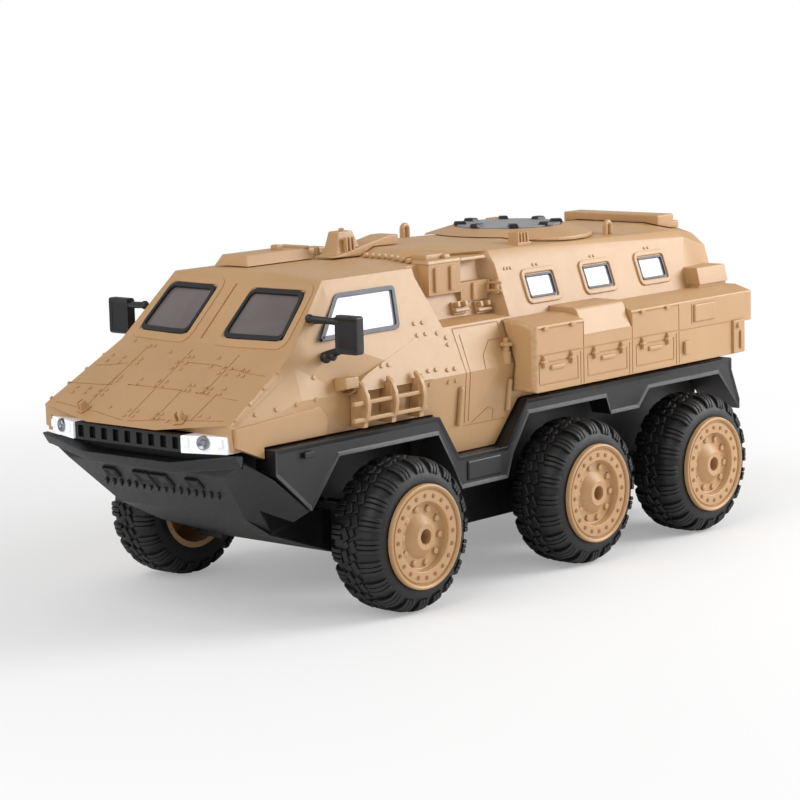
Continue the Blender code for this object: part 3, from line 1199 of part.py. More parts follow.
carry(worm_shaft, pivot("worm_axis", (0.0, 0.0, WORM_Z)))

motor_front = motor_rib_rear - GAP
motor = rod("drive_motor", (motor_front - MOTOR_LENGTH, 0, WORM_Z), (motor_front, 0, WORM_Z),
            MOTOR_RADIUS, STEEL, MOTOR_SIDES)
cut(motor, rod("motor_bore", (motor_front - MOTOR_BORE_DEPTH, 0, WORM_Z), (motor_front + WALL, 0, WORM_Z),
               MOTOR_JOURNAL_RADIUS + RUNNING))

# Steering: brackets on the tub, knuckles on kingpins, stub axles with ball cups

cup_radius = BALL_RADIUS + 2 * RUNNING + CUP_WALL
for side_name, side in SIDES.items():

    def across(low_x, near, low_z, high_x, far, high_z):
        """Corners of a box given by its inboard and outboard faces."""
        return (low_x, min(side * near, side * far), low_z), (high_x, max(side * near, side * far), high_z)

    bracket_y = TUB_FRONT_HALF + GAP
    arm_gap = KNUCKLE_HALF_Z + GAP
    bracket = block("steering_bracket_" + side_name,
                    *across(-BRACKET_HALF_X, bracket_y, AXLE_Z - arm_gap - BRACKET_ARM, BRACKET_HALF_X,
                            bracket_y + BRACKET_ARM, AXLE_Z + arm_gap + BRACKET_ARM), BLACK)
    for arm_name, low, high in (("low", -arm_gap - BRACKET_ARM, -arm_gap),
                                ("high", arm_gap, arm_gap + BRACKET_ARM)):
        fuse(bracket, block(f"bracket_arm_{arm_name}_{side_name}",
                            *across(-BRACKET_HALF_X, bracket_y + GAP, AXLE_Z + low, BRACKET_HALF_X,
                                    KINGPIN_Y + BRACKET_REACH, AXLE_Z + high)))
    pin_top = (0, side * KINGPIN_Y, AXLE_Z + arm_gap + 2 * BRACKET_ARM)
    pin_low = (0, side * KINGPIN_Y, AXLE_Z - arm_gap - 2 * BRACKET_ARM)
    cut(bracket, rod("kingpin_hole_" + side_name, pin_low, pin_top, KINGPIN_RADIUS + RUNNING))
    cut(bracket, rod("bracket_shaft_hole_" + side_name, (0, side * TUB_FRONT_HALF, AXLE_Z),
                     (0, side * (KINGPIN_Y - KNUCKLE_INNER), AXLE_Z), SHAFT_RADIUS + 2 * RUNNING))

    knuckle = block("knuckle_" + side_name,
                    *across(-KNUCKLE_HALF_X, KINGPIN_Y - KNUCKLE_INNER, AXLE_Z - KNUCKLE_HALF_Z,
                            KNUCKLE_HALF_X, KINGPIN_Y + KNUCKLE_OUTER, AXLE_Z + KNUCKLE_HALF_Z), BLACK)
    fuse(knuckle, block("steer_arm_" + side_name,
                        *across(0, KINGPIN_Y - WALL, STEER_ARM_Z, STEER_ARM + 2 * PIN_RADIUS,
                                KINGPIN_Y + WALL, STEER_ARM_Z + STEER_ARM_THICKNESS)))
    arm_pin_top = TIE_ROD_Z + TIE_ROD_HEIGHT - GAP
    fuse(knuckle, rod("arm_pin_" + side_name, (STEER_ARM, side * KINGPIN_Y, STEER_ARM_Z + PIN_RADIUS),
                      (STEER_ARM, side * KINGPIN_Y, arm_pin_top), PIN_RADIUS, sides=PIN_SIDES))
    pin_root = KNUCKLE_HALF_Z - BRACKET_ARM
    for pin_name, way in (("upper", 1), ("lower", -1)):
        fuse(knuckle, rod(f"kingpin_{pin_name}_{side_name}", (0, side * KINGPIN_Y, AXLE_Z + way * pin_root),
                          (0, side * KINGPIN_Y, AXLE_Z + way * (arm_gap + BRACKET_ARM)), KINGPIN_RADIUS))
    cup_end = KINGPIN_Y + CUP_HALF
    cut(knuckle, rod("knuckle_cup_room_" + side_name, (0, side * (KINGPIN_Y - KNUCKLE_OUTER), AXLE_Z),
                     (0, side * (cup_end + RUNNING), AXLE_Z), cup_radius + 2 * RUNNING))
    cut(knuckle, rod("knuckle_bore_" + side_name, (0, side * KINGPIN_Y, AXLE_Z),
                     (0, side * (KINGPIN_Y + 2 * KNUCKLE_OUTER), AXLE_Z), SHAFT_RADIUS + RUNNING))
    carry(knuckle, steer_pivots[side_name])

    stub = rod("stub_axle_" + side_name, (0, side * (KINGPIN_Y - CUP_HALF + BALL_RADIUS / 2), AXLE_Z),
               (0, side * cup_end, AXLE_Z), cup_radius, STEEL)
    fuse(stub, rod("stub_shaft_" + side_name, (0, side * KINGPIN_Y, AXLE_Z),
                   (0, side * SHAFT_END, AXLE_Z), SHAFT_RADIUS))
    cut(stub, rod("cup_room_" + side_name, (0, side * (KINGPIN_Y - 2 * CUP_HALF), AXLE_Z),
                  (0, side * (KINGPIN_Y + BALL_RADIUS + RUNNING), AXLE_Z), BALL_RADIUS + 2 * RUNNING))
    carry(stub, spin_pivots["front_" + side_name])

eye_half_x = PIN_RADIUS + STEER_PLAY + EYE_WALL
eye_half_y = PIN_RADIUS + RUNNING + EYE_WALL
tie_rod_end = KINGPIN_Y + eye_half_y
tie_rod = block("tie_rod", (STEER_ARM - TIE_ROD_WIDTH / 2, -tie_rod_end + EYE_WALL / 2, TIE_ROD_Z),
                (STEER_ARM + TIE_ROD_WIDTH / 2, tie_rod_end - EYE_WALL / 2, TIE_ROD_Z + TIE_ROD_HEIGHT),
                BLACK)
eyes = {"left": KINGPIN_Y, "right": -KINGPIN_Y, "centre": 0.0}
for eye_name, eye_y in eyes.items():
    fuse(tie_rod, block("tie_rod_eye_" + eye_name, (STEER_ARM - eye_half_x, eye_y - eye_half_y, TIE_ROD_Z),
                        (STEER_ARM + eye_half_x, eye_y + eye_half_y, TIE_ROD_Z + TIE_ROD_HEIGHT)))
hole_half_x = PIN_RADIUS + STEER_PLAY
hole_half_y = PIN_RADIUS + RUNNING
for eye_name, eye_y in eyes.items():
    cut(tie_rod, block("tie_rod_hole_" + eye_name,
                       (STEER_ARM - hole_half_x, eye_y - hole_half_y, TIE_ROD_Z - WALL),
                       (STEER_ARM + hole_half_x, eye_y + hole_half_y, TIE_ROD_Z + 3 * WALL)))
carry(tie_rod, pivot("tie_rod_axis", (STEER_ARM, 0.0, TIE_ROD_Z)))

horn = block("servo_horn", (STEER_ARM - 2 * PIN_RADIUS, -HORN_HALF_WIDTH, HORN_Z),
             (HORN_PIVOT_X + HORN_HALF_WIDTH, HORN_HALF_WIDTH, HORN_Z + HORN_THICKNESS), NYLON)
horn_middle_z = HORN_Z + HORN_THICKNESS / 2
fuse(horn, rod("horn_pin", (STEER_ARM, 0, TIE_ROD_Z + GAP), (STEER_ARM, 0, horn_middle_z),
               PIN_RADIUS, sides=PIN_SIDES))
fuse(horn, rod("horn_hub", (HORN_PIVOT_X, 0, horn_middle_z), (HORN_PIVOT_X, 0, SERVO_Z + WALL),
               SHAFT_RADIUS))
carry(horn, pivot("horn_axis", (HORN_PIVOT_X, 0.0, HORN_Z)))
servo = block("steering_servo", (servo_rear_x, -SERVO_WIDTH / 2, SERVO_Z),
              (servo_rear_x + SERVO_LENGTH, SERVO_WIDTH / 2, SERVO_Z + SERVO_HEIGHT), BLACK)
cut(servo, rod("servo_bore", (HORN_PIVOT_X, 0, SERVO_Z - WALL), (HORN_PIVOT_X, 0, SERVO_Z + 1.5 * WALL),
               SHAFT_RADIUS + RUNNING))

# Battery, its cover, the circuit board and the power switch

battery_z = TUB_FLOOR + GAP
block("battery_pack", (BATTERY_X - BATTERY_LENGTH / 2, -BATTERY_WIDTH / 2, battery_z),
      (BATTERY_X + BATTERY_LENGTH / 2, BATTERY_WIDTH / 2, battery_z + BATTERY_HEIGHT), CELL)
block("battery_cover", (BATTERY_X - cover_half_x + GAP, -cover_half_y + GAP, TUB_BOTTOM),
      (BATTERY_X + cover_half_x - GAP, cover_half_y - GAP, TUB_FLOOR), BLACK)
board_x = (FRONT_RIB_X + BOARD_RIB_X) / 2
block("control_board", (board_x - BOARD_LENGTH / 2, -BOARD_WIDTH / 2, RIB_TOP + GAP),
      (board_x + BOARD_LENGTH / 2, BOARD_WIDTH / 2, RIB_TOP + GAP + BOARD_THICKNESS), BOARD)
switch = block("power_switch", (SWITCH_X - knob_half, SWITCH_Y - knob_half, TUB_BOTTOM),
               (SWITCH_X + knob_half, SWITCH_Y + knob_half, TUB_FLOOR + GAP + SWITCH_PLATE), BLACK)
plate_half = knob_half + SWITCH_LAP
plate_low = (SWITCH_X - plate_half - SWITCH_TRAVEL, SWITCH_Y - plate_half, TUB_FLOOR + GAP)
plate_high = (SWITCH_X + plate_half + SWITCH_TRAVEL, SWITCH_Y + plate_half, TUB_FLOOR + GAP + SWITCH_PLATE)
fuse(switch, block("switch_plate", plate_low, plate_high))
carry(switch, pivot("switch_axis", (SWITCH_X, SWITCH_Y, TUB_BOTTOM)))

if body_fit.name in parts.objects:
    parts.objects.unlink(body_fit)
    cutters.objects.link(body_fit)
body_fit.hide_render = True
body_fit.display_type = "WIRE"
for thing in parts.objects:
    if thing.type == "MESH" and thing.name.startswith(("rim_", "tyre_")):
        thing.data.shade_smooth()
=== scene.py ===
import math
import random

import bmesh
import bpy
from mathutils import Matrix, Vector
from mathutils.bvhtree import BVHTree


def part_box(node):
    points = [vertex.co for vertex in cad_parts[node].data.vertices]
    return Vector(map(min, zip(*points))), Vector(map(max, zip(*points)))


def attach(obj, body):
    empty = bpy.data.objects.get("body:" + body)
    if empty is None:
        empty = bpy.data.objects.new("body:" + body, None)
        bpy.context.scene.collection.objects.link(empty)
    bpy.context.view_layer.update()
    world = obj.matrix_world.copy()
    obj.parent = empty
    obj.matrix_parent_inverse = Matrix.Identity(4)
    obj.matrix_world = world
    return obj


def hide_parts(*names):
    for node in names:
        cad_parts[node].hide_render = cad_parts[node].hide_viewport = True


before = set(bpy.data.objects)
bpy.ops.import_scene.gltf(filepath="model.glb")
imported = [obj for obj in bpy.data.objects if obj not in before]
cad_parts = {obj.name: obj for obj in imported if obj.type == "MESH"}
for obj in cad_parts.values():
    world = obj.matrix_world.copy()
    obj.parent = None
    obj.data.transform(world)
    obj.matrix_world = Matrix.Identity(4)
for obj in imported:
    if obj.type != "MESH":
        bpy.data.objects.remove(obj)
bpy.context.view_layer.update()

# Lower hull: the tub that carries everything, moulded in black plastic with a keeled bow.
# It comes first on the bench; the drive drops into it and the body shell is screwed down over it.
MM = 0.001
MERGE_GAP = 0.02 * MM
FLAT_ANGLE = math.radians(0.6)
SHARP_ANGLE = math.radians(28)
SMOOTH_ANGLE = math.radians(35)
FACET_ANGLE = math.radians(4)
STRIP_SLOT = 2
NARROW = 2.4


def only(piece):
    """Leaves one object selected and active."""
    bpy.ops.object.select_all(action="DESELECT")
    piece.select_set(True)
    bpy.context.view_layer.objects.active = piece


def shape(piece, kind="FACE"):
    """Opens one piece in edit mode with nothing in it selected."""
    only(piece)
    bpy.ops.object.mode_set(mode="EDIT")
    bpy.ops.mesh.select_mode(type=kind)
    bpy.ops.mesh.select_all(action="DESELECT")


def done():
    """Goes back to object mode."""
    bpy.ops.object.mode_set(mode="OBJECT")


def settle(piece, *modifiers):
    """Applies modifiers, each given as a kind and its settings, in order."""
    only(piece)
    for kind, settings in modifiers:
        modifier = piece.modifiers.new(kind, kind)
        for setting, value in settings.items():
            setattr(modifier, setting, value)
        bpy.ops.object.modifier_apply(modifier=modifier.name)


def copied(node, name):
    """Copies a CAD node's mesh as a new piece, with its doubles merged and its flat faces whole."""
    piece = bpy.data.objects.new(name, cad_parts[node].data.copy())
    piece.data.materials.clear()
    bpy.context.scene.collection.objects.link(piece)
    only(piece)
    bpy.ops.mesh.customdata_custom_splitnormals_clear()
    shape(piece)
    bpy.ops.mesh.select_all(action="SELECT")
    bpy.ops.mesh.remove_doubles(threshold=MERGE_GAP)
    bpy.ops.mesh.dissolve_limited(angle_limit=FLAT_ANGLE)
    done()
    return piece


def smoothed(piece, facets=False):
    """Shades a piece smooth across its rounded edges, and on request keeps each flat facet apart."""
    only(piece)
    bpy.ops.mesh.customdata_custom_splitnormals_clear()
    bpy.ops.object.shade_smooth_by_angle(angle=SMOOTH_ANGLE)
    if facets:
        work = bmesh.new()
        work.from_mesh(piece.data)
        for edge in work.edges:
            flat = all(face.material_index != STRIP_SLOT for face in edge.link_faces)
            if flat and edge.calc_face_angle(0) > FACET_ANGLE:
                edge.smooth = False
        work.to_mesh(piece.data)
        work.free()
    settle(piece, ("WEIGHTED_NORMAL", {"keep_sharp": True}))


def mean_width(mesh, face):
    """How wide a face is on average, for telling narrow walls from broad plates."""
    corners = [mesh.vertices[number].co for number in face.vertices]
    round_it = sum((a - b).length for a, b in zip(corners, corners[1:] + corners[:1]))
    return 2 * face.area / round_it


def give_slots(piece):
    """Gives a piece empty material slots, the last for the strips of its rounded edges."""
    while len(piece.data.materials) <= STRIP_SLOT:
        piece.data.materials.append(None)


def eased(piece, width, steps=2, facets=True):
    """Rounds a piece's sharp edges by a width in mm, and marks the rounded strips for lighter edges, part
    wear and part painted highlight.
    """
    shape(piece, "EDGE")
    bpy.ops.mesh.edges_select_sharp(sharpness=SHARP_ANGLE)
    done()
    narrow_edges = set()
    for face in piece.data.polygons:
        if mean_width(piece.data, face) < NARROW * width * MM:
            narrow_edges.update(face.edge_keys)
    for edge in piece.data.edges:
        edge.use_seam = edge.select and edge.key not in narrow_edges
    shape(piece, "EDGE")
    bpy.ops.mesh.select_all(action="SELECT")
    bpy.ops.mesh.quads_convert_to_tris(quad_method="BEAUTY", ngon_method="BEAUTY")
    bpy.ops.mesh.select_all(action="DESELECT")
    done()
    for edge in piece.data.edges:
        edge.select = edge.use_seam
        edge.use_seam = False
    give_slots(piece)
    bpy.ops.object.mode_set(mode="EDIT")
    bpy.ops.mesh.bevel(
        offset=width * MM, segments=steps, clamp_overlap=False, affect="EDGES", material=STRIP_SLOT
    )
    done()
    flat_points = set()
    for face in piece.data.polygons:
        if face.material_index != STRIP_SLOT:
            flat_points.update(face.vertices)
    marks = piece.data.attributes.new("edge", "FLOAT", "POINT")
    for point in piece.data.vertices:
        marks.data[point.index].value = 0.0 if point.index in flat_points else 1.0
    smoothed(piece, facets)
    return piece


def srgb(red, green, blue):
    """A colour as seen on screen, made linear for a shader."""
    levels = (red, green, blue)
    return tuple(v / 12.92 if v < 0.04045 else ((v + 0.055) / 1.055) ** 2.4 for v in levels) + (1,)


def add_node(tree, kind, inputs=None, **settings):
    """Adds a shader node with its settings, and sets or links its inputs."""
    node = tree.nodes.new(kind)
    for setting, value in settings.items():
        setattr(node, setting, value)
    for socket, value in (inputs or {}).items():
        if isinstance(value, bpy.types.NodeSocket):
            tree.links.new(value, node.inputs[socket])
        else:
            node.inputs[socket].default_value = value
    return node


MIX_A, MIX_B, MIX_OUT = 6, 7, 2
CLOUD_SCALE, SPECK_SCALE, GRAIN_SCALE = 32, 420, 2600
CLOUD_LOW, CLOUD_HIGH = 0.35, 0.68
SCUFF_LOW, SCUFF_HIGH = 0.32, 0.6
GLOSS_PATCHES = 0.16
GRAIN_STRENGTH, GRAIN_DISTANCE = 0.35, 0.0003


def moulded_skin():
    """The skin of moulded plastic: clouded colour, lighter edges that are part wear and part painted
    highlight, and a fine spark-eroded grain.
    """
    group = bpy.data.node_groups.new("moulded_skin", "ShaderNodeTree")
    sockets = {"Colour": "Color", "Shade": "Color", "Wear and highlight": "Color", "Gloss": "Float", "Grain": "Float"}
    for name, kind in sockets.items():
        group.interface.new_socket(name=name, in_out="INPUT", socket_type="NodeSocket" + kind)
    for name, kind in {"Colour": "Color", "Roughness": "Float", "Height": "Float"}.items():
        group.interface.new_socket(name=name, in_out="OUTPUT", socket_type="NodeSocket" + kind)
    given = group.nodes.new("NodeGroupInput").outputs
    where = group.nodes.new("ShaderNodeTexCoord").outputs["Object"]
    clouding = {"Vector": where, "Scale": CLOUD_SCALE, "Detail": 5, "Roughness": 0.6}
    clouds = add_node(group, "ShaderNodeTexNoise", clouding)
    specks = add_node(group, "ShaderNodeTexNoise", {"Vector": where, "Scale": SPECK_SCALE, "Detail": 3})
    grain = add_node(group, "ShaderNodeTexNoise", {"Vector": where, "Scale": GRAIN_SCALE, "Detail": 2})
    edge = add_node(group, "ShaderNodeAttribute", attribute_name="edge").outputs["Fac"]
    cloudy = add_node(
        group,
        "ShaderNodeMapRange",
        {"Value": clouds.outputs["Fac"], "From Min": CLOUD_LOW, "From Max": CLOUD_HIGH},
    )
    tint = add_node(
        group,
        "ShaderNodeMix",
        {0: cloudy.outputs["Result"], MIX_A: given["Colour"], MIX_B: given["Shade"]},
        data_type="RGBA",
    )
    scuffs = add_node(
        group,
        "ShaderNodeMapRange",
        {"Value": specks.outputs["Fac"], "From Min": SCUFF_LOW, "From Max": SCUFF_HIGH},
    )
    # Lighter edges: part wear, part painted highlight on the rounded strips, broken up by specks.
    wear_highlight_mix = add_node(
        group, "ShaderNodeMath", {0: edge, 1: scuffs.outputs["Result"]}, operation="MULTIPLY", use_clamp=True
    )
    wear_highlight_colour = add_node(
        group,
        "ShaderNodeMix",
        {0: wear_highlight_mix.outputs["Value"], MIX_A: tint.outputs[MIX_OUT], MIX_B: given["Wear and highlight"]},
        data_type="RGBA",
    )
    patchy = add_node(
        group,
        "ShaderNodeMath",
        {0: specks.outputs["Fac"], 1: GLOSS_PATCHES, 2: given["Gloss"]},
        operation="MULTIPLY_ADD",
    )
    height = add_node(
        group, "ShaderNodeMath", {0: grain.outputs["Fac"], 1: given["Grain"]}, operation="MULTIPLY"
    )
    out = group.nodes.new("NodeGroupOutput").inputs
    group.links.new(wear_highlight_colour.outputs[MIX_OUT], out["Colour"])
    group.links.new(patchy.outputs["Value"], out["Roughness"])
    group.links.new(height.outputs["Value"], out["Height"])
    return group


MOULDED_SKIN = moulded_skin()


def moulded(name, colour, shade, wear_and_highlight, gloss, grain, metallic=0.0):
    """A material with the moulded skin in its own colours, gloss and grain."""
    material = bpy.data.materials.new(name)
    material.use_nodes = True
    tree = material.node_tree
    bsdf = tree.nodes["Principled BSDF"]
    skin = add_node(tree, "ShaderNodeGroup", node_tree=MOULDED_SKIN)
    colours = {"Colour": srgb(*colour), "Shade": srgb(*shade), "Wear and highlight": srgb(*wear_and_highlight)}
    for socket, value in {**colours, "Gloss": gloss, "Grain": grain}.items():
        skin.inputs[socket].default_value = value
    bump = add_node(
        tree,
        "ShaderNodeBump",
        {"Height": skin.outputs["Height"], "Strength": GRAIN_STRENGTH, "Distance": GRAIN_DISTANCE},
    )
    tree.links.new(skin.outputs["Colour"], bsdf.inputs["Base Color"])
    tree.links.new(skin.outputs["Roughness"], bsdf.inputs["Roughness"])
    tree.links.new(bump.outputs["Normal"], bsdf.inputs["Normal"])
    bsdf.inputs["Metallic"].default_value = metallic
    return material


def keep(piece, materials, slot, body, *nodes):
    """Gives a finished piece its materials, its body and the CAD nodes it stands for; its slot is not used.
    """
    finishes = materials if isinstance(materials, tuple) else (materials,)
    kinds = [face.material_index for face in piece.data.polygons]
    piece.data.materials.clear()
    for material in finishes:
        piece.data.materials.append(material)
    for face, kind in zip(piece.data.polygons, kinds):
        face.material_index = kind if kind < len(finishes) else 0
    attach(piece, body)
    if nodes:
        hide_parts(*nodes)


BLACK = moulded("black_plastic", (0.068, 0.068, 0.08), (0.088, 0.088, 0.1), (0.17, 0.172, 0.19), 0.34, 0.6)

HULL_EDGE = 0.6
tub = eased(copied("lower_hull", "hull_tub"), HULL_EDGE)
keep(tub, BLACK, "black_plastic", "chassis", "lower_hull")

# Drive, steering and electrics: bought-in motor, servo, battery and board, with steel shafts, nylon
# gears and black nylon brackets. They keep their CAD shapes, for they sit inside the closed hull.
STEEL = moulded("ground_steel", (0.62, 0.63, 0.65), (0.5, 0.51, 0.53), (0.75, 0.76, 0.78), 0.2, 0.2, 1.0)
NYLON = moulded("white_nylon", (0.86, 0.85, 0.81), (0.78, 0.77, 0.72), (0.92, 0.91, 0.88), 0.35, 0.3)
WRAP = moulded("battery_wrap", (0.12, 0.3, 0.5), (0.1, 0.25, 0.42), (0.3, 0.45, 0.6), 0.22, 0.1)
BOARD = moulded("circuit_board", (0.07, 0.3, 0.17), (0.05, 0.23, 0.13), (0.3, 0.45, 0.35), 0.3, 0.2)
INNER_FINISHES = {
    "front_axle_shaft mid_axle_shaft rear_axle_shaft stub_axle_left stub_axle_right": STEEL,
    "worm_shaft drive_motor": STEEL,
    "front_worm_wheel mid_worm_wheel rear_worm_wheel servo_horn": NYLON,
    "battery_pack": WRAP,
    "control_board": BOARD,
    "steering_bracket_left steering_bracket_right knuckle_left knuckle_right tie_rod": BLACK,
    "steering_servo battery_cover power_switch": BLACK,
}


def dress(node, material):
    """Puts a finish on a CAD node that is shown as it is."""
    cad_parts[node].material_slots[0].material = material


for nodes, finish in INNER_FINISHES.items():
    for node in nodes.split():
        dress(node, finish)

# Rims: sand-coloured mouldings with a rolled lip, a flat ring of rivets, a shallow dish with ten bolts
# and a coned boss over the axle. One is turned and copied to all six hubs.
SAND_COLOUR = (0.745, 0.585, 0.40)
SAND_SHADE = (0.72, 0.56, 0.375)
# The lighter sand of the rounded edges is part wear and part painted highlight.
SAND_WEAR_AND_HIGHLIGHT = (0.78, 0.63, 0.455)
SAND = moulded("sand_plastic", SAND_COLOUR, SAND_SHADE, SAND_WEAR_AND_HIGHLIGHT, 0.36, 0.5)
SAND_SHEEN = 0.75
SAND.node_tree.nodes["Principled BSDF"].inputs["Specular IOR Level"].default_value = SAND_SHEEN
# The rim's ring rivets have darker sand tops: painted shade that makes them read as dark dots.
RIVET_SHADE_SAND = moulded("sand_rivets_painted_shade", (0.58, 0.42, 0.27), (0.55, 0.40, 0.25), (0.62, 0.46, 0.3), 0.45, 0.5)
RIM_OUTLINE = (
    (0, 76.5),
    (3.1, 76.5),
    (3.4, 83.7),
    (5.7, 83.9),
    (6.3, 83.4),
    (9.6, 80.6),
    (10.0, 80.3),
    (13.8, 80.3),
    (14.4, 80.7),
    (15.3, 83.3),
    (15.8, 83.6),
    (20.1, 83.6),
    (20.5, 83.0),
    (21.1, 83.0),
    (21.4, 84.0),
    (22.1, 84.5),
    (22.8, 84.3),
    (23.0, 83.6),
    (23.0, 82.3),
    (20.0, 81.6),
    (20.0, 58.4),
    (23.0, 57.8),
    (23.0, 56.7),
    (18.2, 56.6),
    (18.2, 77.6),
    (5.2, 77.4),
    (5.0, 70.0),
    (0, 70.0),
)
RING_FACE, DISH_FLOOR = 83.6, 80.3
RIVET_RING, RIVETS = 17.9, 20
RIM_RIVET_RADIUS, RIM_RIVET_HEIGHT = 0.95, 0.45
BOLT_RING, BOLTS, BOLT_PHASE = 12.2, 10, 1.167
RIM_BOLT_RADIUS, RIM_BOLT_HEIGHT = 1.6, 1.2
WHEEL_STEPS = 64
AXLE_LOW, AXLE_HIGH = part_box("front_axle_shaft")
FRONT_AXLE = (AXLE_LOW.x + AXLE_HIGH.x) / 2
AXLE_HEIGHT = 34.0
AXLES = {"front": 0.0, "mid": -122.0, "rear": -214.5}
FACING = 0.9


def place(x, y, z):
    """A point given in mm from the front axle, the middle plane and the floor."""
    return Vector((FRONT_AXLE + x * MM, y * MM, z * MM))


def pick(piece, test):
    """Opens a piece in edit mode with the faces selected whose middle and normal pass a test."""
    shape(piece)
    done()
    for face in piece.data.polygons:
        face.select = test(face.center, face.normal)
    bpy.ops.object.mode_set(mode="EDIT")


def turned(name, outline, steps):
    """Turns an outline of (radius, height) points, in mm, about the Z axis."""
    bpy.ops.mesh.primitive_plane_add(size=MM)
    piece = bpy.context.object
    piece.name = name
    shape(piece, "VERT")
    bpy.ops.mesh.select_all(action="SELECT")
    bpy.ops.mesh.merge(type="CENTER")
    radius, height = outline[0]
    bpy.ops.transform.translate(value=(radius * MM, 0, height * MM))
    for (r1, h1), (r2, h2) in zip(outline, outline[1:]):
        step = ((r2 - r1) * MM, 0, (h2 - h1) * MM)
        bpy.ops.mesh.extrude_vertices_move(TRANSFORM_OT_translate={"value": step})
    bpy.ops.mesh.select_all(action="SELECT")
    bpy.ops.mesh.spin(steps=steps, angle=math.tau, center=(0, 0, 0), axis=(0, 0, 1))
    bpy.ops.mesh.select_all(action="SELECT")
    bpy.ops.mesh.remove_doubles(threshold=0.005 * MM)
    bpy.ops.mesh.normals_make_consistent(inside=False)
    done()
    return piece


def stud(radius, height, sides, draw=0.7):
    """A rivet or bolt head standing at the origin: a short prism with its top face drawn in."""
    bpy.ops.mesh.primitive_cylinder_add(
        vertices=sides, radius=radius * MM, depth=1.6 * height * MM, location=(0, 0, 0.2 * height * MM)
    )
    piece = bpy.context.object
    bpy.ops.object.transform_apply()
    pick(piece, lambda middle, normal: normal.z > FACING)
    bpy.ops.mesh.bevel(offset=radius * (1 - draw) * MM, segments=2, affect="EDGES")
    done()
    return piece


def repeated(model, matrices):
    """Copies a model, each copy with its own mesh, to every place in a list, and takes the model away."""
    copies = []
    for matrix in matrices:
        copy = bpy.data.objects.new(model.name, model.data.copy())
        copy.data.transform(matrix)
        bpy.context.scene.collection.objects.link(copy)
        copies.append(copy)
    bpy.data.objects.remove(model)
    return copies


def joined(name, pieces):
    """Joins pieces into one and names it."""
    only(pieces[0])
    for piece in pieces:
        piece.select_set(True)
    bpy.ops.object.join()
    result = bpy.context.object
    result.name = name
    result.data.name = name
    return result


def round_ring(count, radius, height, phase=0.0):
    """Places on a ring about the Z axis, each turned to face outwards."""
    spots = []
    for number in range(count):
        turn = Matrix.Rotation(phase + math.tau * number / count, 4, "Z")
        spots.append(turn @ Matrix.Translation((radius * MM, 0, height * MM)))
    return spots


rim_model = turned("rim_model", RIM_OUTLINE, WHEEL_STEPS)
rivet = stud(RIM_RIVET_RADIUS, RIM_RIVET_HEIGHT, 10)
rivets = repeated(rivet, round_ring(RIVETS, RIVET_RING, RING_FACE))
bolt = stud(RIM_BOLT_RADIUS, RIM_BOLT_HEIGHT, 10, 0.55)
bolts = repeated(bolt, round_ring(BOLTS, BOLT_RING, DISH_FLOOR, BOLT_PHASE))
rim_model = joined("rim_model", [rim_model] + rivets + bolts)
smoothed(rim_model)
# Painted shade: the ring rivets' tops take the darker second material.
for face in rim_model.data.polygons:
    from_ring = abs(face.center.xy.length / MM - RIVET_RING)
    if from_ring < RIM_RIVET_RADIUS + 0.15 and face.center.z > (RING_FACE + 0.05) * MM:
        face.material_index = 1


def at_wheel(axle, side):
    """Where a wheel modelled about the Z axis, its outer face up, sits on its hub."""
    face_out = Matrix.Rotation(-side * math.pi / 2, 4, "X")
    return Matrix.Translation(place(AXLES[axle], 0, AXLE_HEIGHT)) @ face_out


SIDES = {"left": 1, "right": -1}
WHEELS = [(axle, hand) for axle in AXLES for hand in SIDES]


def wheel_body(axle, hand):
    """The CAD body that a wheel turns with."""
    return "front_wheel_" + hand if axle == "front" else axle + "_axle"


def fit_wheels(model, kind, finish, slot):
    """Copies a rim or tyre to the six hubs in place of its CAD nodes."""
    spots = [at_wheel(axle, SIDES[hand]) for axle, hand in WHEELS]
    for (axle, hand), piece in zip(WHEELS, repeated(model, spots)):
        piece.name = f"wheel_{kind}_{axle}_{hand}"
        keep(piece, finish, slot, wheel_body(axle, hand), f"{kind}_{axle}_{hand}")


fit_wheels(rim_model, "rim", (SAND, RIVET_SHADE_SAND), "sand_plastic")

# Tyres: soft black rubber with a smooth band by the rim, shoulder lugs of three narrow bars that wrap
# onto the side wall, and uneven skewed blocks along the crown. They are pulled over the rims.
RUBBER = moulded("tyre_rubber", (0.055, 0.055, 0.06), (0.075, 0.075, 0.08), (0.14, 0.14, 0.14), 0.42, 1.0)
TYRE_MIDDLE = 69.0
CARCASS_OUTLINE = (
    (20.1, 12.2),
    (22.9, 12.8),
    (23.5, 13.15),
    (24.8, 13.2),
    (26.9, 12.8),
    (28.8, 11.9),
    (30.3, 10.7),
    (31.5, 9.0),
    (32.2, 6.8),
    (32.5, 3.6),
)
LUG_OUTLINE = (
    (4.6, 31.6),
    (4.6, 33.5),
    (6.0, 33.8),
    (9.0, 33.2),
    (11.4, 31.8),
    (12.8, 29.8),
    (13.15, 27.8),
    (11.6, 28.0),
)
LUG_PITCHES = 20
LUG_BARS = ((-0.22, 2.0), (0.0, 1.9), (0.22, 2.0))
TREAD_TOP, TREAD_FOOT = 33.8, 31.4
CROWN_BLOCKS = ((5.2, 3.4, 2.4), (3.6, 2.8, 1.5))
CROWN_SKEW = 0.45
SHIFT_RANGE, SKEW_RANGE, SIZE_RANGE = (-0.5, 0.5), (0.4, 1.4), (0.85, 1.15)
TREAD_SEED = 6
LUG_EDGE, BLOCK_EDGE = 0.3, 0.4


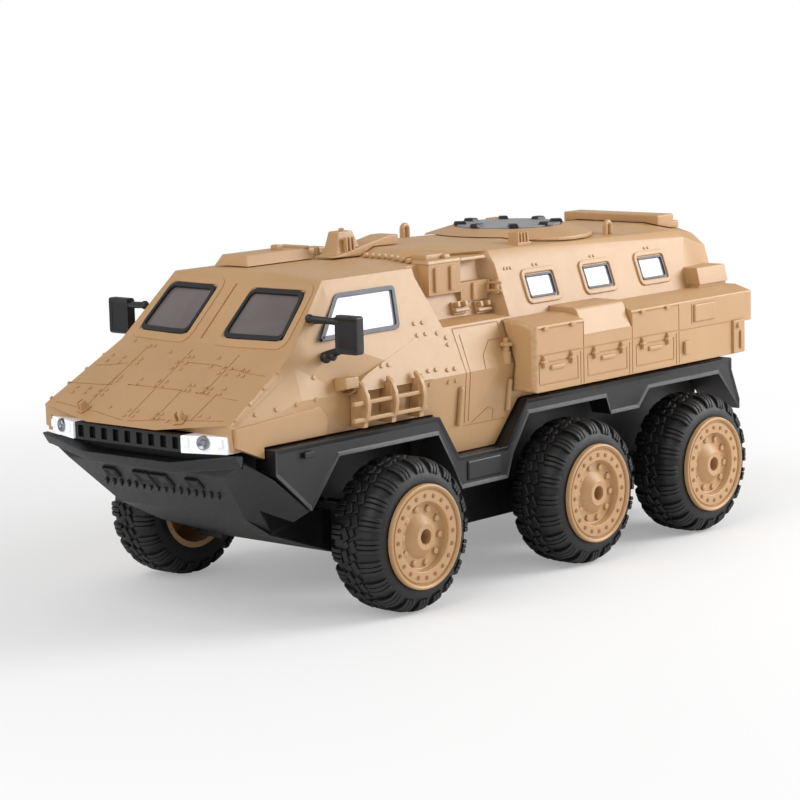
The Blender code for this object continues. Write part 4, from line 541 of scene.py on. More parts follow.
def slab(outline, width):
    """A flat piece with an outline of (across, up) points, pushed out to a width along X. Sizes in mm."""
    bpy.ops.mesh.primitive_circle_add(vertices=len(outline), radius=1, fill_type="NGON")
    piece = bpy.context.object
    for point, (across, up) in zip(piece.data.vertices, outline):
        point.co = (-width / 2 * MM, across * MM, up * MM)
    shape(piece)
    bpy.ops.mesh.select_all(action="SELECT")
    bpy.ops.mesh.extrude_region_move(TRANSFORM_OT_translate={"value": (width * MM, 0, 0)})
    bpy.ops.mesh.select_all(action="SELECT")
    bpy.ops.mesh.normals_make_consistent(inside=False)
    done()
    return piece


def block(size, ease=0.3, taper=(1.0, 1.0), steps=2):
    """A small moulded block standing on the floor at the origin, its top drawn in and its edges rounded."""
    length, width, height = (v * MM for v in size)
    bpy.ops.mesh.primitive_cube_add(size=1)
    piece = bpy.context.object
    piece.data.transform(Matrix.Translation((0, 0, height / 2)) @ Matrix.Diagonal((length, width, height, 1)))
    pick(piece, lambda middle, normal: normal.z > FACING)
    bpy.ops.transform.resize(value=(taper[0], taper[1], 1))
    done()
    shape(piece, "EDGE")
    bpy.ops.mesh.select_all(action="SELECT")
    bpy.ops.mesh.bevel(offset=ease * MM, segments=steps, affect="EDGES")
    done()
    return piece


def round_tyre(turn, side):
    """The turns about the axle of every pitch of the tread, on its own side or flipped to the other."""
    flip = Matrix.Rotation(0 if side > 0 else math.pi, 4, "Z")
    angles = [math.tau * (number + turn) / LUG_PITCHES for number in range(LUG_PITCHES)]
    return [Matrix.Rotation(angle, 4, "Y") @ flip for angle in angles]


half_outline = list(CARCASS_OUTLINE)
other_half = [(radius, -height) for radius, height in reversed(CARCASS_OUTLINE)]
tyre_parts = [turned("carcass", half_outline + other_half + half_outline[:1], WHEEL_STEPS)]
tyre_parts[0].data.transform(Matrix.Rotation(-math.pi / 2, 4, "X"))
luck = random.Random(TREAD_SEED)
for side, turn in ((1, 0.0), (-1, 0.5)):
    for shift, width in LUG_BARS:
        bar = slab(LUG_OUTLINE, width)
        for point in bar.data.vertices:
            point.co.x *= point.co.z / (TREAD_TOP * MM)
        pick(bar, lambda middle, normal: abs(normal.x) > FACING)
        bpy.ops.mesh.bevel(offset=LUG_EDGE * MM, segments=1, affect="EDGES")
        done()
        tyre_parts += repeated(bar, round_tyre(turn + shift, side))
    for number, (length, width, middle) in enumerate(CROWN_BLOCKS):
        model = block((length, width, TREAD_TOP - TREAD_FOOT), BLOCK_EDGE, (0.9, 0.9), 1)
        spots = []
        for spot in round_tyre(turn + 0.5 * number, side):
            lay = Matrix.Translation((luck.uniform(*SHIFT_RANGE) * MM, middle * MM, TREAD_FOOT * MM))
            skew = Matrix.Rotation(CROWN_SKEW * luck.uniform(*SKEW_RANGE), 4, "Z")
            stretch = Matrix.Diagonal((luck.uniform(*SIZE_RANGE), luck.uniform(*SIZE_RANGE), 1, 1))
            spots.append(spot @ lay @ skew @ stretch)
        tyre_parts += repeated(model, spots)
tyre_model = joined("tyre_model", tyre_parts)
tyre_model.data.transform(Matrix.Rotation(math.pi / 2, 4, "X"))
tyre_model.data.transform(Matrix.Translation((0, 0, TYRE_MIDDLE * MM)))
smoothed(tyre_model)
fit_wheels(tyre_model, "tyre", RUBBER, "tyre_rubber")

# Skirts: long black mouldings with the wheel arches cut in them, clipped along the hull's sides.
# A raised lip runs round each arch and along the edge, and a step box hangs between the first two wheels.
LIP_WIDTH, LIP_DEPTH = 1.9, 0.7
SKIRT_FACE, SKIRT_EDGE = 64.5, 0.4
STEP_PANEL, STEP_SINK = (24.0, 9.5, 1.2), 0.3
STEP_X, STEP_Z = -63.5, 53.0
for hand, side in SIDES.items():
    skirt = copied("skirt_" + hand, "side_skirt_" + hand)
    inner = (SKIRT_FACE - 1) * MM
    pick(skirt, lambda middle, normal: side * normal.y > FACING and side * middle.y > inner)
    bpy.ops.mesh.inset(thickness=LIP_WIDTH * MM, depth=-LIP_DEPTH * MM)
    done()
    eased(skirt, SKIRT_EDGE)
    keep(skirt, BLACK, "black_plastic", "chassis", "skirt_" + hand)
    step = block(STEP_PANEL, 0.5, (0.94, 0.86))
    step.data.transform(Matrix.Rotation(-side * math.pi / 2, 4, "X"))
    step_y = side * (SKIRT_FACE - LIP_DEPTH - STEP_SINK)
    step.data.transform(Matrix.Translation(place(STEP_X, step_y, STEP_Z)))
    step.name = "step_panel_" + hand
    smoothed(step)
    keep(step, BLACK, "black_plastic", "chassis")

# Bumper and grille: black mouldings screwed to the nose, the bumper swept back to its corners, the
# grille a row of upright bars set between the lamps.
BUMPER_EDGE, GRILLE_EDGE = 0.7, 0.15
bumper = eased(copied("front_bumper", "nose_bumper"), BUMPER_EDGE)
keep(bumper, BLACK, "black_plastic", "chassis", "front_bumper")
grille = eased(copied("front_grille", "nose_grille"), GRILLE_EDGE)
keep(grille, BLACK, "black_plastic", "chassis", "front_grille")

# Body shell: one sand-coloured moulding from the nose to the tail, its plates marked off by fine
# engraved seams and set with rivets. It drops over the hull and is screwed from below.
SHELL_EDGE = 0.35
SEAM_WIDTH, SEAM_DEPTH = 0.65, 0.22
FROM_ABOVE, FROM_BESIDE, FROM_AHEAD, FROM_BEHIND = 300, 150, 200, -400
# The walls of the engraved seams are a slightly darker sand: painted shade in the grooves.
SEAM_SHADE_SAND = moulded("sand_seams_painted_shade", (0.73, 0.555, 0.375), (0.70, 0.53, 0.35), (0.75, 0.58, 0.40), 0.5, 0.5)
HOOD_SEAMS = (
    ((87.5, -30.7), (52.4, -28.0)),
    ((95.0, -2.0), (87.8, -51.0)),
    ((95.0, 2.0), (87.8, 51.0)),
    ((92.5, 0.0), (54.0, 0.0)),
    ((92.5, 15.5), (76.0, 15.5)),
    ((89.7, 34.8), (74.6, 34.8)),
    ((75.6, 28.0), (53.6, 28.0)),
    ((76.0, -55.0), (76.0, 48.0)),
    ((64.5, -50.0), (63.0, -29.0)),
    ((61.0, 0.0), (61.0, 50.0)),
)
HOOD_STEPS = 5
SCREEN_SEAM_Y, SCREEN_SEAM_Z, SCREEN_SEAM_WIDTH = -0.5, (141.0, 120.4), 1.3
DOOR_SEAMS = (
    ((-53.4, 116.2), (-54.7, 97.2), (-54.8, 96.6), (-56.2, 74.0)),
    ((-57.2, 113.0), (-57.6, 97.2), (-57.7, 96.6), (-59.0, 74.5)),
    ((-53.4, 116.2), (-85.2, 116.2), (-86.2, 98.0)),
    ((-83.9, 108.8), (-75.5, 108.8), (-69.2, 103.0), (-68.4, 97.4)),
    ((-61.5, 73.4), (-72.0, 79.0), (-76.0, 77.4), (-76.0, 73.4)),
    ((-56.2, 72.4), (-84.0, 72.4)),
)
REAR_DOOR = ((-25.0, 87.0), (25.0, 87.0), (25.0, 113.0), (-25.0, 113.0), (-25.0, 87.0))


def skin_of(piece):
    """A search tree of a piece's surface, for setting fittings on it."""
    points = [point.co for point in piece.data.vertices]
    return BVHTree.FromPolygons(points, [face.vertices[:] for face in piece.data.polygons])


def hit(skin, start, towards):
    """The place and normal where a line first meets a surface."""
    point, normal, _, _ = skin.ray_cast(start, towards)
    return point, normal


def on_top(x, y):
    """The spot on the body's upper side above (x, y), in mm."""
    return hit(BODY_SKIN, place(x, y, FROM_ABOVE), Vector((0, 0, -1)))


def on_side(x, z, side):
    """The spot on the body's left or right side at (x, z), in mm."""
    return hit(BODY_SKIN, place(x, side * FROM_BESIDE, z), Vector((0, -side, 0)))


def on_front(y, z):
    """The spot on the body's front at (y, z), in mm."""
    return hit(BODY_SKIN, place(FROM_AHEAD, y, z), Vector((-1, 0, 0)))


def on_back(y, z):
    """The spot on the body's rear at (y, z), in mm."""
    return hit(BODY_SKIN, place(FROM_BEHIND, y, z), Vector((1, 0, 0)))


def seam(first, second, width, depth):
    """A bar lying along a surface between two spots, to be cut out as a groove. Sizes in mm."""
    start, end = first[0], second[0]
    along = (end - start).normalized()
    normal = (first[1] + second[1]).normalized()
    across = normal.cross(along).normalized()
    normal = along.cross(across)
    length = (end - start).length + width * MM
    axes = (along * length, across * width * MM, normal * 2 * depth * MM)
    bpy.ops.mesh.primitive_cube_add(size=1)
    bar = bpy.context.object
    bar.data.transform(Matrix.Translation((start + end) / 2) @ Matrix(axes).transposed().to_4x4())
    return bar


def box_of(piece):
    """The low and high corners of a mesh."""
    points = [point.co for point in piece.data.vertices]
    low = [min(point[axis] for point in points) for axis in range(3)]
    high = [max(point[axis] for point in points) for axis in range(3)]
    return low, high


def apart(pieces):
    """Sorts pieces into groups in which no two come near each other."""
    groups = []
    for piece in pieces:
        low, high = box_of(piece)
        for group in groups:
            if all(any(low[i] > top[i] or high[i] < foot[i] for i in range(3)) for _, foot, top in group):
                group.append((piece, low, high))
                break
        else:
            groups.append([(piece, low, high)])
    return [[piece for piece, _, _ in group] for group in groups]


def engrave(piece, bars):
    """Cuts bars out of a piece; the walls of the cuts take the piece's second material, a darker sand painted
    as shade in the grooves.
    """
    for number, material in enumerate((SAND, SEAM_SHADE_SAND, BLACK)):
        piece.data.materials[number] = material
    for group in apart(bars):
        cutter = joined("cutter", group)
        cutter.data.materials.append(SEAM_SHADE_SAND)
        cut = {"operation": "DIFFERENCE", "object": cutter, "solver": "MANIFOLD", "material_mode": "TRANSFER"}
        settle(piece, ("BOOLEAN", cut))
        bpy.data.objects.remove(cutter)
    smoothed(piece, True)


def along_line(start, end, count):
    """Even steps along a line between two points, ends included."""
    return [tuple(a + (b - a) * step / count for a, b in zip(start, end)) for step in range(count + 1)]


def seam_run(spots, width=SEAM_WIDTH, depth=SEAM_DEPTH):
    """The bars of a seam that follows a row of spots."""
    return [seam(first, second, width, depth) for first, second in zip(spots, spots[1:])]


body = copied("upper_hull", "body_shell")
BODY_SKIN = skin_of(body)
bars = []
for start, end in HOOD_SEAMS:
    bars += seam_run([on_top(x, y) for x, y in along_line(start, end, HOOD_STEPS)])
bars += seam_run([on_front(SCREEN_SEAM_Y, z) for z in SCREEN_SEAM_Z], SCREEN_SEAM_WIDTH, 2 * SEAM_DEPTH)
for side in SIDES.values():
    for line in DOOR_SEAMS:
        bars += seam_run([on_side(x, z, side) for x, z in line])
bars += seam_run([on_back(y, z) for y, z in REAR_DOOR])
eased(body, SHELL_EDGE)
engrave(body, bars)
keep(body, (SAND, SEAM_SHADE_SAND), "sand_plastic", "chassis", "upper_hull")

# Rivets: domed heads moulded on the hood plates, the cheeks and the cab's sides, as on riveted armour.
# They sit in small clusters where plates meet and in even rows along the cheeks.
RIVET_RADIUS, RIVET_HEIGHT = 1.0, 0.65
HOOD_CLUSTERS = (
    ((49.5,), (-41.0,)),
    ((58.0, 61.5), (-46.5,)),
    ((59.5, 62.5), (-37.5,)),
    ((53.5,), (-27.0, -24.0)),
    ((61.5, 64.0), (-29.0, -24.5)),
    ((72.0, 74.5), (-30.0, -26.5)),
    ((72.5, 75.5), (-13.0,)),
    ((79.5, 82.5), (-32.0, -27.5)),
    ((78.5, 81.5), (-47.5, -39.5)),
    ((89.0,), (-15.5,)),
    ((89.5, 92.5), (-3.0, 2.0)),
    ((56.5,), (-11.5,)),
    ((58.0,), (1.5, 4.0)),
    ((61.5, 65.0), (-2.0, 3.5)),
    ((72.5, 75.5), (-2.0, 2.5)),
    ((57.0, 62.0), (19.0,)),
    ((61.0, 64.5), (26.0, 30.0)),
    ((60.0, 63.0), (36.0, 39.0)),
    ((72.5, 75.0), (26.5, 29.5)),
    ((73.0, 76.0), (17.0, 19.5)),
    ((71.0, 74.0), (36.0,)),
    ((89.5, 92.0), (14.0, 17.0)),
    ((92.5,), (23.0,)),
    ((87.0,), (37.0, 42.0)),
)
CHEEK_ROWS = (((56.5, 110.0), (76.0, 99.5), 3), ((38.5, 96.5), (85.5, 94.0), 5))
SIDE_CLUSTERS = (
    ((37.0,), (105.5,)),
    ((-30.0, -35.5), (121.0, 116.0)),
    ((-43.0,), (115.5,)),
    ((-48.0,), (113.0, 110.0)),
    ((-2.0, -6.5), (106.0, 99.0)),
    ((-25.5,), (99.0,)),
    ((-30.5, -35.5), (100.5,)),
    ((-43.0, -48.0), (99.5, 94.0)),
    ((-30.5,), (94.5,)),
)


def stand(spot, along=(1, 0, 0)):
    """Where a piece modelled on the floor at the origin stands on a spot, its X axis turned along."""
    point, normal = spot
    across = normal.cross(Vector(along)).normalized()
    return Matrix.Translation(point) @ Matrix((across.cross(normal), across, normal)).transposed().to_4x4()


def clustered(clusters):
    """Every place of the small grids of rivets, each given by its two rows of distances."""
    return [(first, second) for firsts, seconds in clusters for first in firsts for second in seconds]


def fitted(name, parts, finish, slot):
    """Joins small fittings into one piece that rides on the chassis, and shades it smooth."""
    piece = joined(name, parts)
    smoothed(piece)
    keep(piece, finish, slot, "chassis")


spots = [stand(on_top(x, y)) for x, y in clustered(HOOD_CLUSTERS)]
for side in SIDES.values():
    side_places = clustered(SIDE_CLUSTERS)
    for start, end, count in CHEEK_ROWS:
        side_places += along_line(start, end, count - 1)
    spots += [stand(on_side(x, z, side)) for x, z in side_places]
fitted("body_rivets", repeated(stud(RIVET_RADIUS, RIVET_HEIGHT, 8), spots), SAND, "sand_plastic")

# Hood hooks: two lifting eyes near the nose's corners, moulded with the shell in sand plastic.
# Each is a pair of thick tabs on a pad.
HOOK_X, HOOK_Y = 91.0, 29.5
HOOK_TAB, HOOK_PAD = (4.4, 1.6, 4.6), (5.6, 4.8, 1.0)
TAB_APART = 1.35
hook_spots = [stand(on_top(HOOK_X, side * HOOK_Y), (1, 0.3 * side, 0)) for side in SIDES.values()]
tab_shifts = [Matrix.Translation((0, shift * MM, 0)) for shift in (-TAB_APART, TAB_APART)]
tab_spots = [spot @ shift for spot in hook_spots for shift in tab_shifts]
hook_parts = repeated(block(HOOK_PAD, 0.35), hook_spots)
hook_parts += repeated(block(HOOK_TAB, 0.6, (0.7, 1.0)), tab_spots)
fitted("hood_hooks", hook_parts, SAND, "sand_plastic")

# Bow trim: a row of slanted ribs across the keeled bow, framed pockets above it, and a small clip on
# each skirt's face, all moulded in the same black plastic as the hull.
BOW_RIBS, BOW_RIB_STEP, BOW_RIB_Z = 16, 4.6, 58.6
BOW_RIB = (5.0, 1.5, 1.3)
POCKETS = ((5.5, 63.5, (8.5, 10.0, 1.3)), (25.5, 64.0, (6.5, 8.0, 1.3)))
POCKET_RIM, POCKET_DEPTH = 1.1, 0.8
CLIP, CLIP_X, CLIP_Z, CLIP_SINK = (6.0, 2.6, 1.6), 51.5, 75.5, 0.4
FACING_FLAT = 0.98
UPRIGHT = (0, 0, 1)
TUB_SKIN = skin_of(tub)


def on_bow(y, z):
    """The spot on the hull's bow at (y, z), in mm."""
    return hit(TUB_SKIN, place(FROM_AHEAD, y, z), Vector((-1, 0, 0)))


spots = [on_bow((number - (BOW_RIBS - 1) / 2) * BOW_RIB_STEP, BOW_RIB_Z) for number in range(BOW_RIBS)]
bow_parts = repeated(block(BOW_RIB, 0.35, (0.8, 0.8)), [stand(spot, (0, 0.45, 1)) for spot in spots])
for y, z, size in POCKETS:
    for side in SIDES.values():
        pocket = block(size, 0.4, (0.9, 0.9))
        pick(pocket, lambda middle, normal: normal.z > FACING_FLAT)
        bpy.ops.mesh.inset(thickness=POCKET_RIM * MM, depth=-POCKET_DEPTH * MM)
        done()
        bow_parts += repeated(pocket, [stand(on_bow(side * y, z), UPRIGHT)])
for side in SIDES.values():
    clip_place = place(CLIP_X, side * (SKIRT_FACE - CLIP_SINK), CLIP_Z)
    bow_parts += repeated(block(CLIP, 0.4), [stand((clip_place, Vector((0, side, 0))))])
fitted("bow_trim", bow_parts, BLACK, "black_plastic")

# Door and tail fittings: rails each side of the door, clamps and a grip on the ledge behind the cab,
# a filler tube by the lockers, and the tail door's hinges and handle. All are moulded with the shell.
DOOR_RAILS = ((-51.6, 82.0, 18.5), (-86.0, 83.0, 15.5))
RAIL_WIDTH, RAIL_HEIGHT, RAIL_EDGE = 3.0, 1.9, 0.85
CLAMP_SPOTS = ((-70.8, 123.2), (-86.5, 122.0))
CLAMP_PLATE, CLAMP_EAR, CLAMP_BAR = (9.0, 6.0, 1.3), (2.0, 2.6, 4.0), (9.5, 1.5, 1.5)
GRIP_START, GRIP_Y, GRIP_Z = -78.0, 46.5, 131.0
GRIP_BAR, GRIP_LEG = (1.2, 10.0, 1.2), (6.4, 1.5, 2.6)
TUBE_X, TUBE_Y = -84.4, 60.8
TUBE_OUTLINE = (
    (0, 97.5),
    (2.3, 97.5),
    (2.3, 102.8),
    (1.7, 103.2),
    (1.7, 105.4),
    (2.7, 105.8),
    (2.7, 107.0),
    (1.3, 107.4),
    (1.3, 109.0),
    (0, 109.4),
)
TUBE_BAR = (7.0, 1.5, 1.5)
CROSS_BAR = (1.5, 7.0, 1.5)
CROSS_HEIGHT = 105.6
TAIL_HINGE, TAIL_HINGES = (6.0, 3.0, 1.6), ((-27.5, 92.0), (-27.5, 108.0))
TAIL_HANDLE, TAIL_HANDLE_SPOT = (3.0, 10.0, 2.0), (19.0, 100.0)


def moved(piece, x, y, z):
    """Shifts a piece by a distance in mm."""
    piece.data.transform(Matrix.Translation((x * MM, y * MM, z * MM)))
    return piece


fittings = []
for side in SIDES.values():
    for x, z, length in DOOR_RAILS:
        rail = block((length, RAIL_WIDTH, RAIL_HEIGHT), RAIL_EDGE, (0.96, 0.7), 3)
        fittings += repeated(rail, [stand(on_side(x, z, side), UPRIGHT)])
    for x, z in CLAMP_SPOTS:
        parts = [block(CLAMP_PLATE, 0.4)]
        parts += [moved(block(CLAMP_EAR, 0.5), shift, -1.2, 0) for shift in (-2.6, 2.6)]
        parts.append(moved(block(CLAMP_BAR, 0.4), 0, 1.4, 1.6))
        fittings += repeated(joined("clamp", parts), [stand(on_side(x, z, side))])
    parts = [moved(block(GRIP_BAR, 0.35), shift, 0, 1.8) for shift in (-1.8, 1.8)]
    parts += [moved(block(GRIP_LEG, 0.4), 0, shift, 0) for shift in (-2.2, 2.2)]
    grip_spot = hit(BODY_SKIN, place(GRIP_START, side * GRIP_Y, GRIP_Z), Vector((-1, 0, 0)))
    fittings += repeated(joined("grip", parts), [stand(grip_spot, UPRIGHT)])
    parts = [turned("tube", TUBE_OUTLINE, 16)]
    parts += [moved(block(bar, 0.4), 0, 0, CROSS_HEIGHT) for bar in (TUBE_BAR, CROSS_BAR)]
    fittings += repeated(joined("tube", parts), [Matrix.Translation(place(TUBE_X, side * TUBE_Y, 0))])
hinge_spots = [stand(on_back(y, z), UPRIGHT) for y, z in TAIL_HINGES]
fittings += repeated(block(TAIL_HINGE, 0.5), hinge_spots)
fittings += repeated(block(TAIL_HANDLE, 0.7), [stand(on_back(*TAIL_HANDLE_SPOT), UPRIGHT)])
fitted("body_fittings", fittings, SAND, "sand_plastic")

# Stowage behind the cab: lids and straps on the boxes moulded there, and the row of bolt heads along the
# foot of the cabin's front.
BOX_LIDS = (
    (-62.0, 35.5, -0.3, (23.0, 18.5, 1.8)),
    (-82.5, 38.0, -0.3, (18.0, 12.5, 1.6)),
    (-60.0, 36.0, 1.4, (12.0, 9.0, 2.4)),
    (-66.8, 36.5, 1.4, (4.0, 12.0, 2.0)),
)
BOX_STRAPS = ((-56.0, 137.5, 11.0), (-66.5, 137.5, 11.0), (-82.0, 130.0, 7.5))
STRAP_WIDTH, STRAP_HEIGHT = 3.0, 1.2
ROW_BOLT = (3.0, 2.3, 2.2)
BOLT_ROW_X, BOLT_STEP = -50.4, 3.7
BOLT_ROWS = ((7.5, 8), (-14.0, -7))
stowage = []
for side in SIDES.values():
    for x, y, rise, size in BOX_LIDS:
        foot = on_top(x, side * y)[0] + Vector((0, 0, rise * MM))
        stowage += repeated(block(size, 0.5, (0.95, 0.93)), [Matrix.Translation(foot)])
    for x, z, length in BOX_STRAPS:
        strap = block((length, STRAP_WIDTH, STRAP_HEIGHT), 0.4)
        stowage += repeated(strap, [stand(on_side(x, z, side), UPRIGHT)])
bolt_spots = []
for start, count in BOLT_ROWS:
    for number in range(abs(count)):
        y = start + math.copysign(BOLT_STEP * number, count)
        bolt_spots.append(Matrix.Translation(on_top(BOLT_ROW_X, y)[0]))
stowage += repeated(block(ROW_BOLT, 0.6, (0.8, 0.8)), bolt_spots)
fitted("stowage_trim", stowage, SAND, "sand_plastic")

# Headlamps: bright moulded housings, each with a round reflector lamp between two square markers, held
# between the hood's nose and the bumper.
LENS = moulded("lamp_lens", (0.93, 0.94, 0.96), (0.84, 0.86, 0.89), (0.97, 0.97, 0.98), 0.08, 0.1)
# The lenses carry a faint emission: a painted glow that brightens the white lenses.
PAINTED_LENS_GLOW, PAINTED_GLOW_STRENGTH = (0.95, 0.97, 1.0, 1.0), 0.25
LENS.node_tree.nodes["Principled BSDF"].inputs["Emission Color"].default_value = PAINTED_LENS_GLOW
LENS.node_tree.nodes["Principled BSDF"].inputs["Emission Strength"].default_value = PAINTED_GLOW_STRENGTH
LAMP_EDGE = 0.5
LAMP_INNER, LAMP_OUTER = Vector((95.2, 33.0)), Vector((88.4, 54.0))
LAMP_Z = 84.3
LAMP_SHARE, MARKER_SHARES = 0.5, (0.13, 0.85)
MARKER_SIZE = (4.2, 3.6, 1.3)
REFLECTOR_OUTLINE = ((0, 0.2), (1.1, 0.2), (1.7, 0.9), (2.5, 1.2), (2.9, 0.8), (3.0, -0.6), (0, -0.6))
lamp_run = LAMP_OUTER - LAMP_INNER
lamp_face = Vector((lamp_run.y, -lamp_run.x, 0)).normalized()
for hand, side in SIDES.items():
    lamp = eased(copied("headlamp_" + hand, "lamp_body_" + hand), LAMP_EDGE)
    keep(lamp, LENS, "lamp_lens", "chassis", "headlamp_" + hand)
    normal = Vector((lamp_face.x, side * lamp_face.y, 0))
    spots = []
    for share in (LAMP_SHARE, *MARKER_SHARES):
        x, y = LAMP_INNER + share * lamp_run
        spots.append(stand((place(x, side * y, LAMP_Z), normal), UPRIGHT))
    marker = block(MARKER_SIZE, 0.5, (0.8, 0.8))
    fitted("lamp_markers_" + hand, repeated(marker, spots[1:]), LENS, "lamp_lens")
    reflector = turned("lamp_reflectors_" + hand, REFLECTOR_OUTLINE, 20)
    reflector.data.transform(spots[0])
    smoothed(reflector)
    keep(reflector, STEEL, "lamp_lens", "chassis")

# Windscreen: one smoked moulding behind two openings, each with a black rubber frame and a raised
# surround moulded on the shell round it.
SMOKED = moulded("smoked_glazing", (0.43, 0.395, 0.39), (0.38, 0.35, 0.345), (0.46, 0.43, 0.42), 0.14, 0.05)
PANE = ((11.0, 121.3), (43.7, 121.3), (40.4, 139.7), (11.0, 139.7))
SCREEN_FOLD, SCREEN_MIDDLE = 21.4, 130.0
RUBBER_REACH, RUBBER_RING = 0.5, (3.8, 1.8, 0.7)
SURROUND_REACH, SURROUND_RING = 3.6, (4.6, 2.9, 0.45)
dress("windscreen_glazing", SMOKED)


def framed(name, corners, rounding, width, rise, lay, fold=None, ease=0.25):
    """Lays a ring with rounded corners on the body by a rule, and gives it a rounded section. Sizes in mm."""
    bpy.ops.mesh.primitive_plane_add(size=1)
    piece = bpy.context.object
    piece.name = name
    for number, (across, up) in zip((0, 1, 3, 2), corners):
        piece.data.vertices[number].co = (across, up, 0)
    shape(piece, "VERT")
    bpy.ops.mesh.select_all(action="SELECT")
    bpy.ops.mesh.bevel(offset=rounding, segments=4, affect="VERTICES")
    bpy.ops.mesh.select_mode(type="FACE")
    bpy.ops.mesh.select_all(action="SELECT")
    bpy.ops.mesh.inset(thickness=width)
    bpy.ops.mesh.delete(type="FACE")
    if fold:
        bpy.ops.mesh.select_all(action="SELECT")
        bpy.ops.mesh.bisect(plane_co=(fold, 0, 0), plane_no=(1, 0, 0))
    done()
    for point in piece.data.vertices:
        point.co = lay(point.co.x, point.co.y)
    settle(piece, ("SOLIDIFY", {"thickness": 2 * rise * MM, "offset": 0.0}))
    shape(piece)
    bpy.ops.mesh.select_all(action="SELECT")
    bpy.ops.mesh.normals_make_consistent(inside=False)
    done()
    round_off = {"width": ease * MM, "segments": 2, "limit_method": "ANGLE", "angle_limit": math.radians(50)}
    settle(piece, ("BEVEL", round_off))
    smoothed(piece)
    return piece


def grown(corners, by):
    """Corners moved outwards from their middle by a distance in mm."""
    middle_x = sum(x for x, _ in corners) / len(corners)
    middle_y = sum(y for _, y in corners) / len(corners)
    return [(x + math.copysign(by, x - middle_x), y + math.copysign(by, y - middle_y)) for x, y in corners]


def depth_on(plane, y, z):
    """The x at which a plane, given by a spot, stands at (y, z)."""
    point, normal = plane
    return point.x - (normal.y * (y - point.y) + normal.z * (z - point.z)) / normal.x


SCREEN_PLANES = [on_front(y, SCREEN_MIDDLE) for y in (6.0, 45.6, -45.6)]


def on_screen(y, z):
    """A point in mm across and up the windscreen, put on its folded face."""
    point = place(0, y, z)
    point.x = min(depth_on(plane, point.y, point.z) for plane in SCREEN_PLANES)
    return point


for hand, side in SIDES.items():
    pane = [(side * y, z) for y, z in PANE]
    fold = side * SCREEN_FOLD
    rubber = framed("screen_rubber_" + hand, grown(pane, RUBBER_REACH), *RUBBER_RING, on_screen, fold)
    keep(rubber, BLACK, "black_plastic", "chassis")
    outer = grown(pane, SURROUND_REACH)
    raised = framed("screen_surround_" + hand, outer, *SURROUND_RING, on_screen, fold)
    keep(raised, SAND, "sand_plastic", "chassis")

# Cab and cabin windows: mirror-bright panes moulded as one strip behind the shell, their pale colour a
# painted reflection, each opening edged by a grey frame and, on the cabin, a raised sand surround.
REFLECTION_GLAZING = moulded("bright_glazing", (0.79, 0.79, 0.82), (0.74, 0.74, 0.78), (0.83, 0.83, 0.85), 0.1, 0.05, 0.1)
FRAME_GREY = moulded("window_frames", (0.24, 0.235, 0.27), (0.2, 0.2, 0.235), (0.34, 0.34, 0.38), 0.34, 0.2)
CAB_WINDOW = ((-19.5, 120.5), (31.0, 120.5), (13.5, 138.0), (-23.5, 138.0))
CABIN_WINDOWS = (-123.3, -166.8, -210.3)
CABIN_HALF, CABIN_LOW, CABIN_HIGH = 9.75, 124.0, 134.0
CAB_SPOT, CABIN_SPOT = (-31.0, 128.0), (-145.0, 129.0)
CAB_REACH, CAB_RING = 0.5, (2.4, 1.9, 0.6)
CABIN_REACH, CABIN_RING = 0.3, (1.8, 1.1, 0.5)
BORDER_REACH, BORDER_RING, BORDER_EASE = 2.9, (3.2, 2.1, 0.9), 0.5
DOT_RADIUS, DOT_HEIGHT = 0.75, 0.5
DOT_Z, DOT_SHIFTS, FRONT_DOTS = 138.4, (-1.4, 1.4), (-101.0, -103.2, -105.4)


def lie_on(spot):
    """The rule that puts a point (x, z), in mm, on the flat side face that holds a spot."""
    point, normal = spot

    def lay(x, z):
        laid = place(x, 0, z)
        laid.y = point.y - (normal.x * (laid.x - point.x) + normal.z * (laid.z - point.z)) / normal.y
        return laid

    return lay


for hand, side in SIDES.items():
    # The panes are dressed in the pale glazing, a painted reflection.
    dress("cab_glazing_" + hand, REFLECTION_GLAZING)
    dress("cabin_glazing_" + hand, REFLECTION_GLAZING)
    cab_face = lie_on(on_side(*CAB_SPOT, side))
    rims = [framed("cab_window_frame", grown(CAB_WINDOW, CAB_REACH), *CAB_RING, cab_face)]
    cabin_face = lie_on(on_side(*CABIN_SPOT, side))
    borders = []
    dots = [stand(on_side(x, DOT_Z, side)) for x in FRONT_DOTS]
    for x in CABIN_WINDOWS:
        window = [
            (x - CABIN_HALF, CABIN_LOW),
            (x + CABIN_HALF, CABIN_LOW),
            (x + CABIN_HALF, CABIN_HIGH),
            (x - CABIN_HALF, CABIN_HIGH),
        ]
        rims.append(framed("cabin_window_frame", grown(window, CABIN_REACH), *CABIN_RING, cabin_face))
        outer = grown(window, BORDER_REACH)
        borders.append(framed("cabin_surround", outer, *BORDER_RING, cabin_face, ease=BORDER_EASE))
        dots += [stand(on_side(x + shift, DOT_Z, side)) for shift in DOT_SHIFTS]
    frames = joined("window_frames_" + hand, rims)
    keep(frames, FRAME_GREY, "bright_glazing", "chassis")
    borders += repeated(stud(DOT_RADIUS, DOT_HEIGHT, 8), dots)
    surround = joined("window_surrounds_" + hand, borders)
    keep(surround, SAND, "sand_plastic", "chassis")

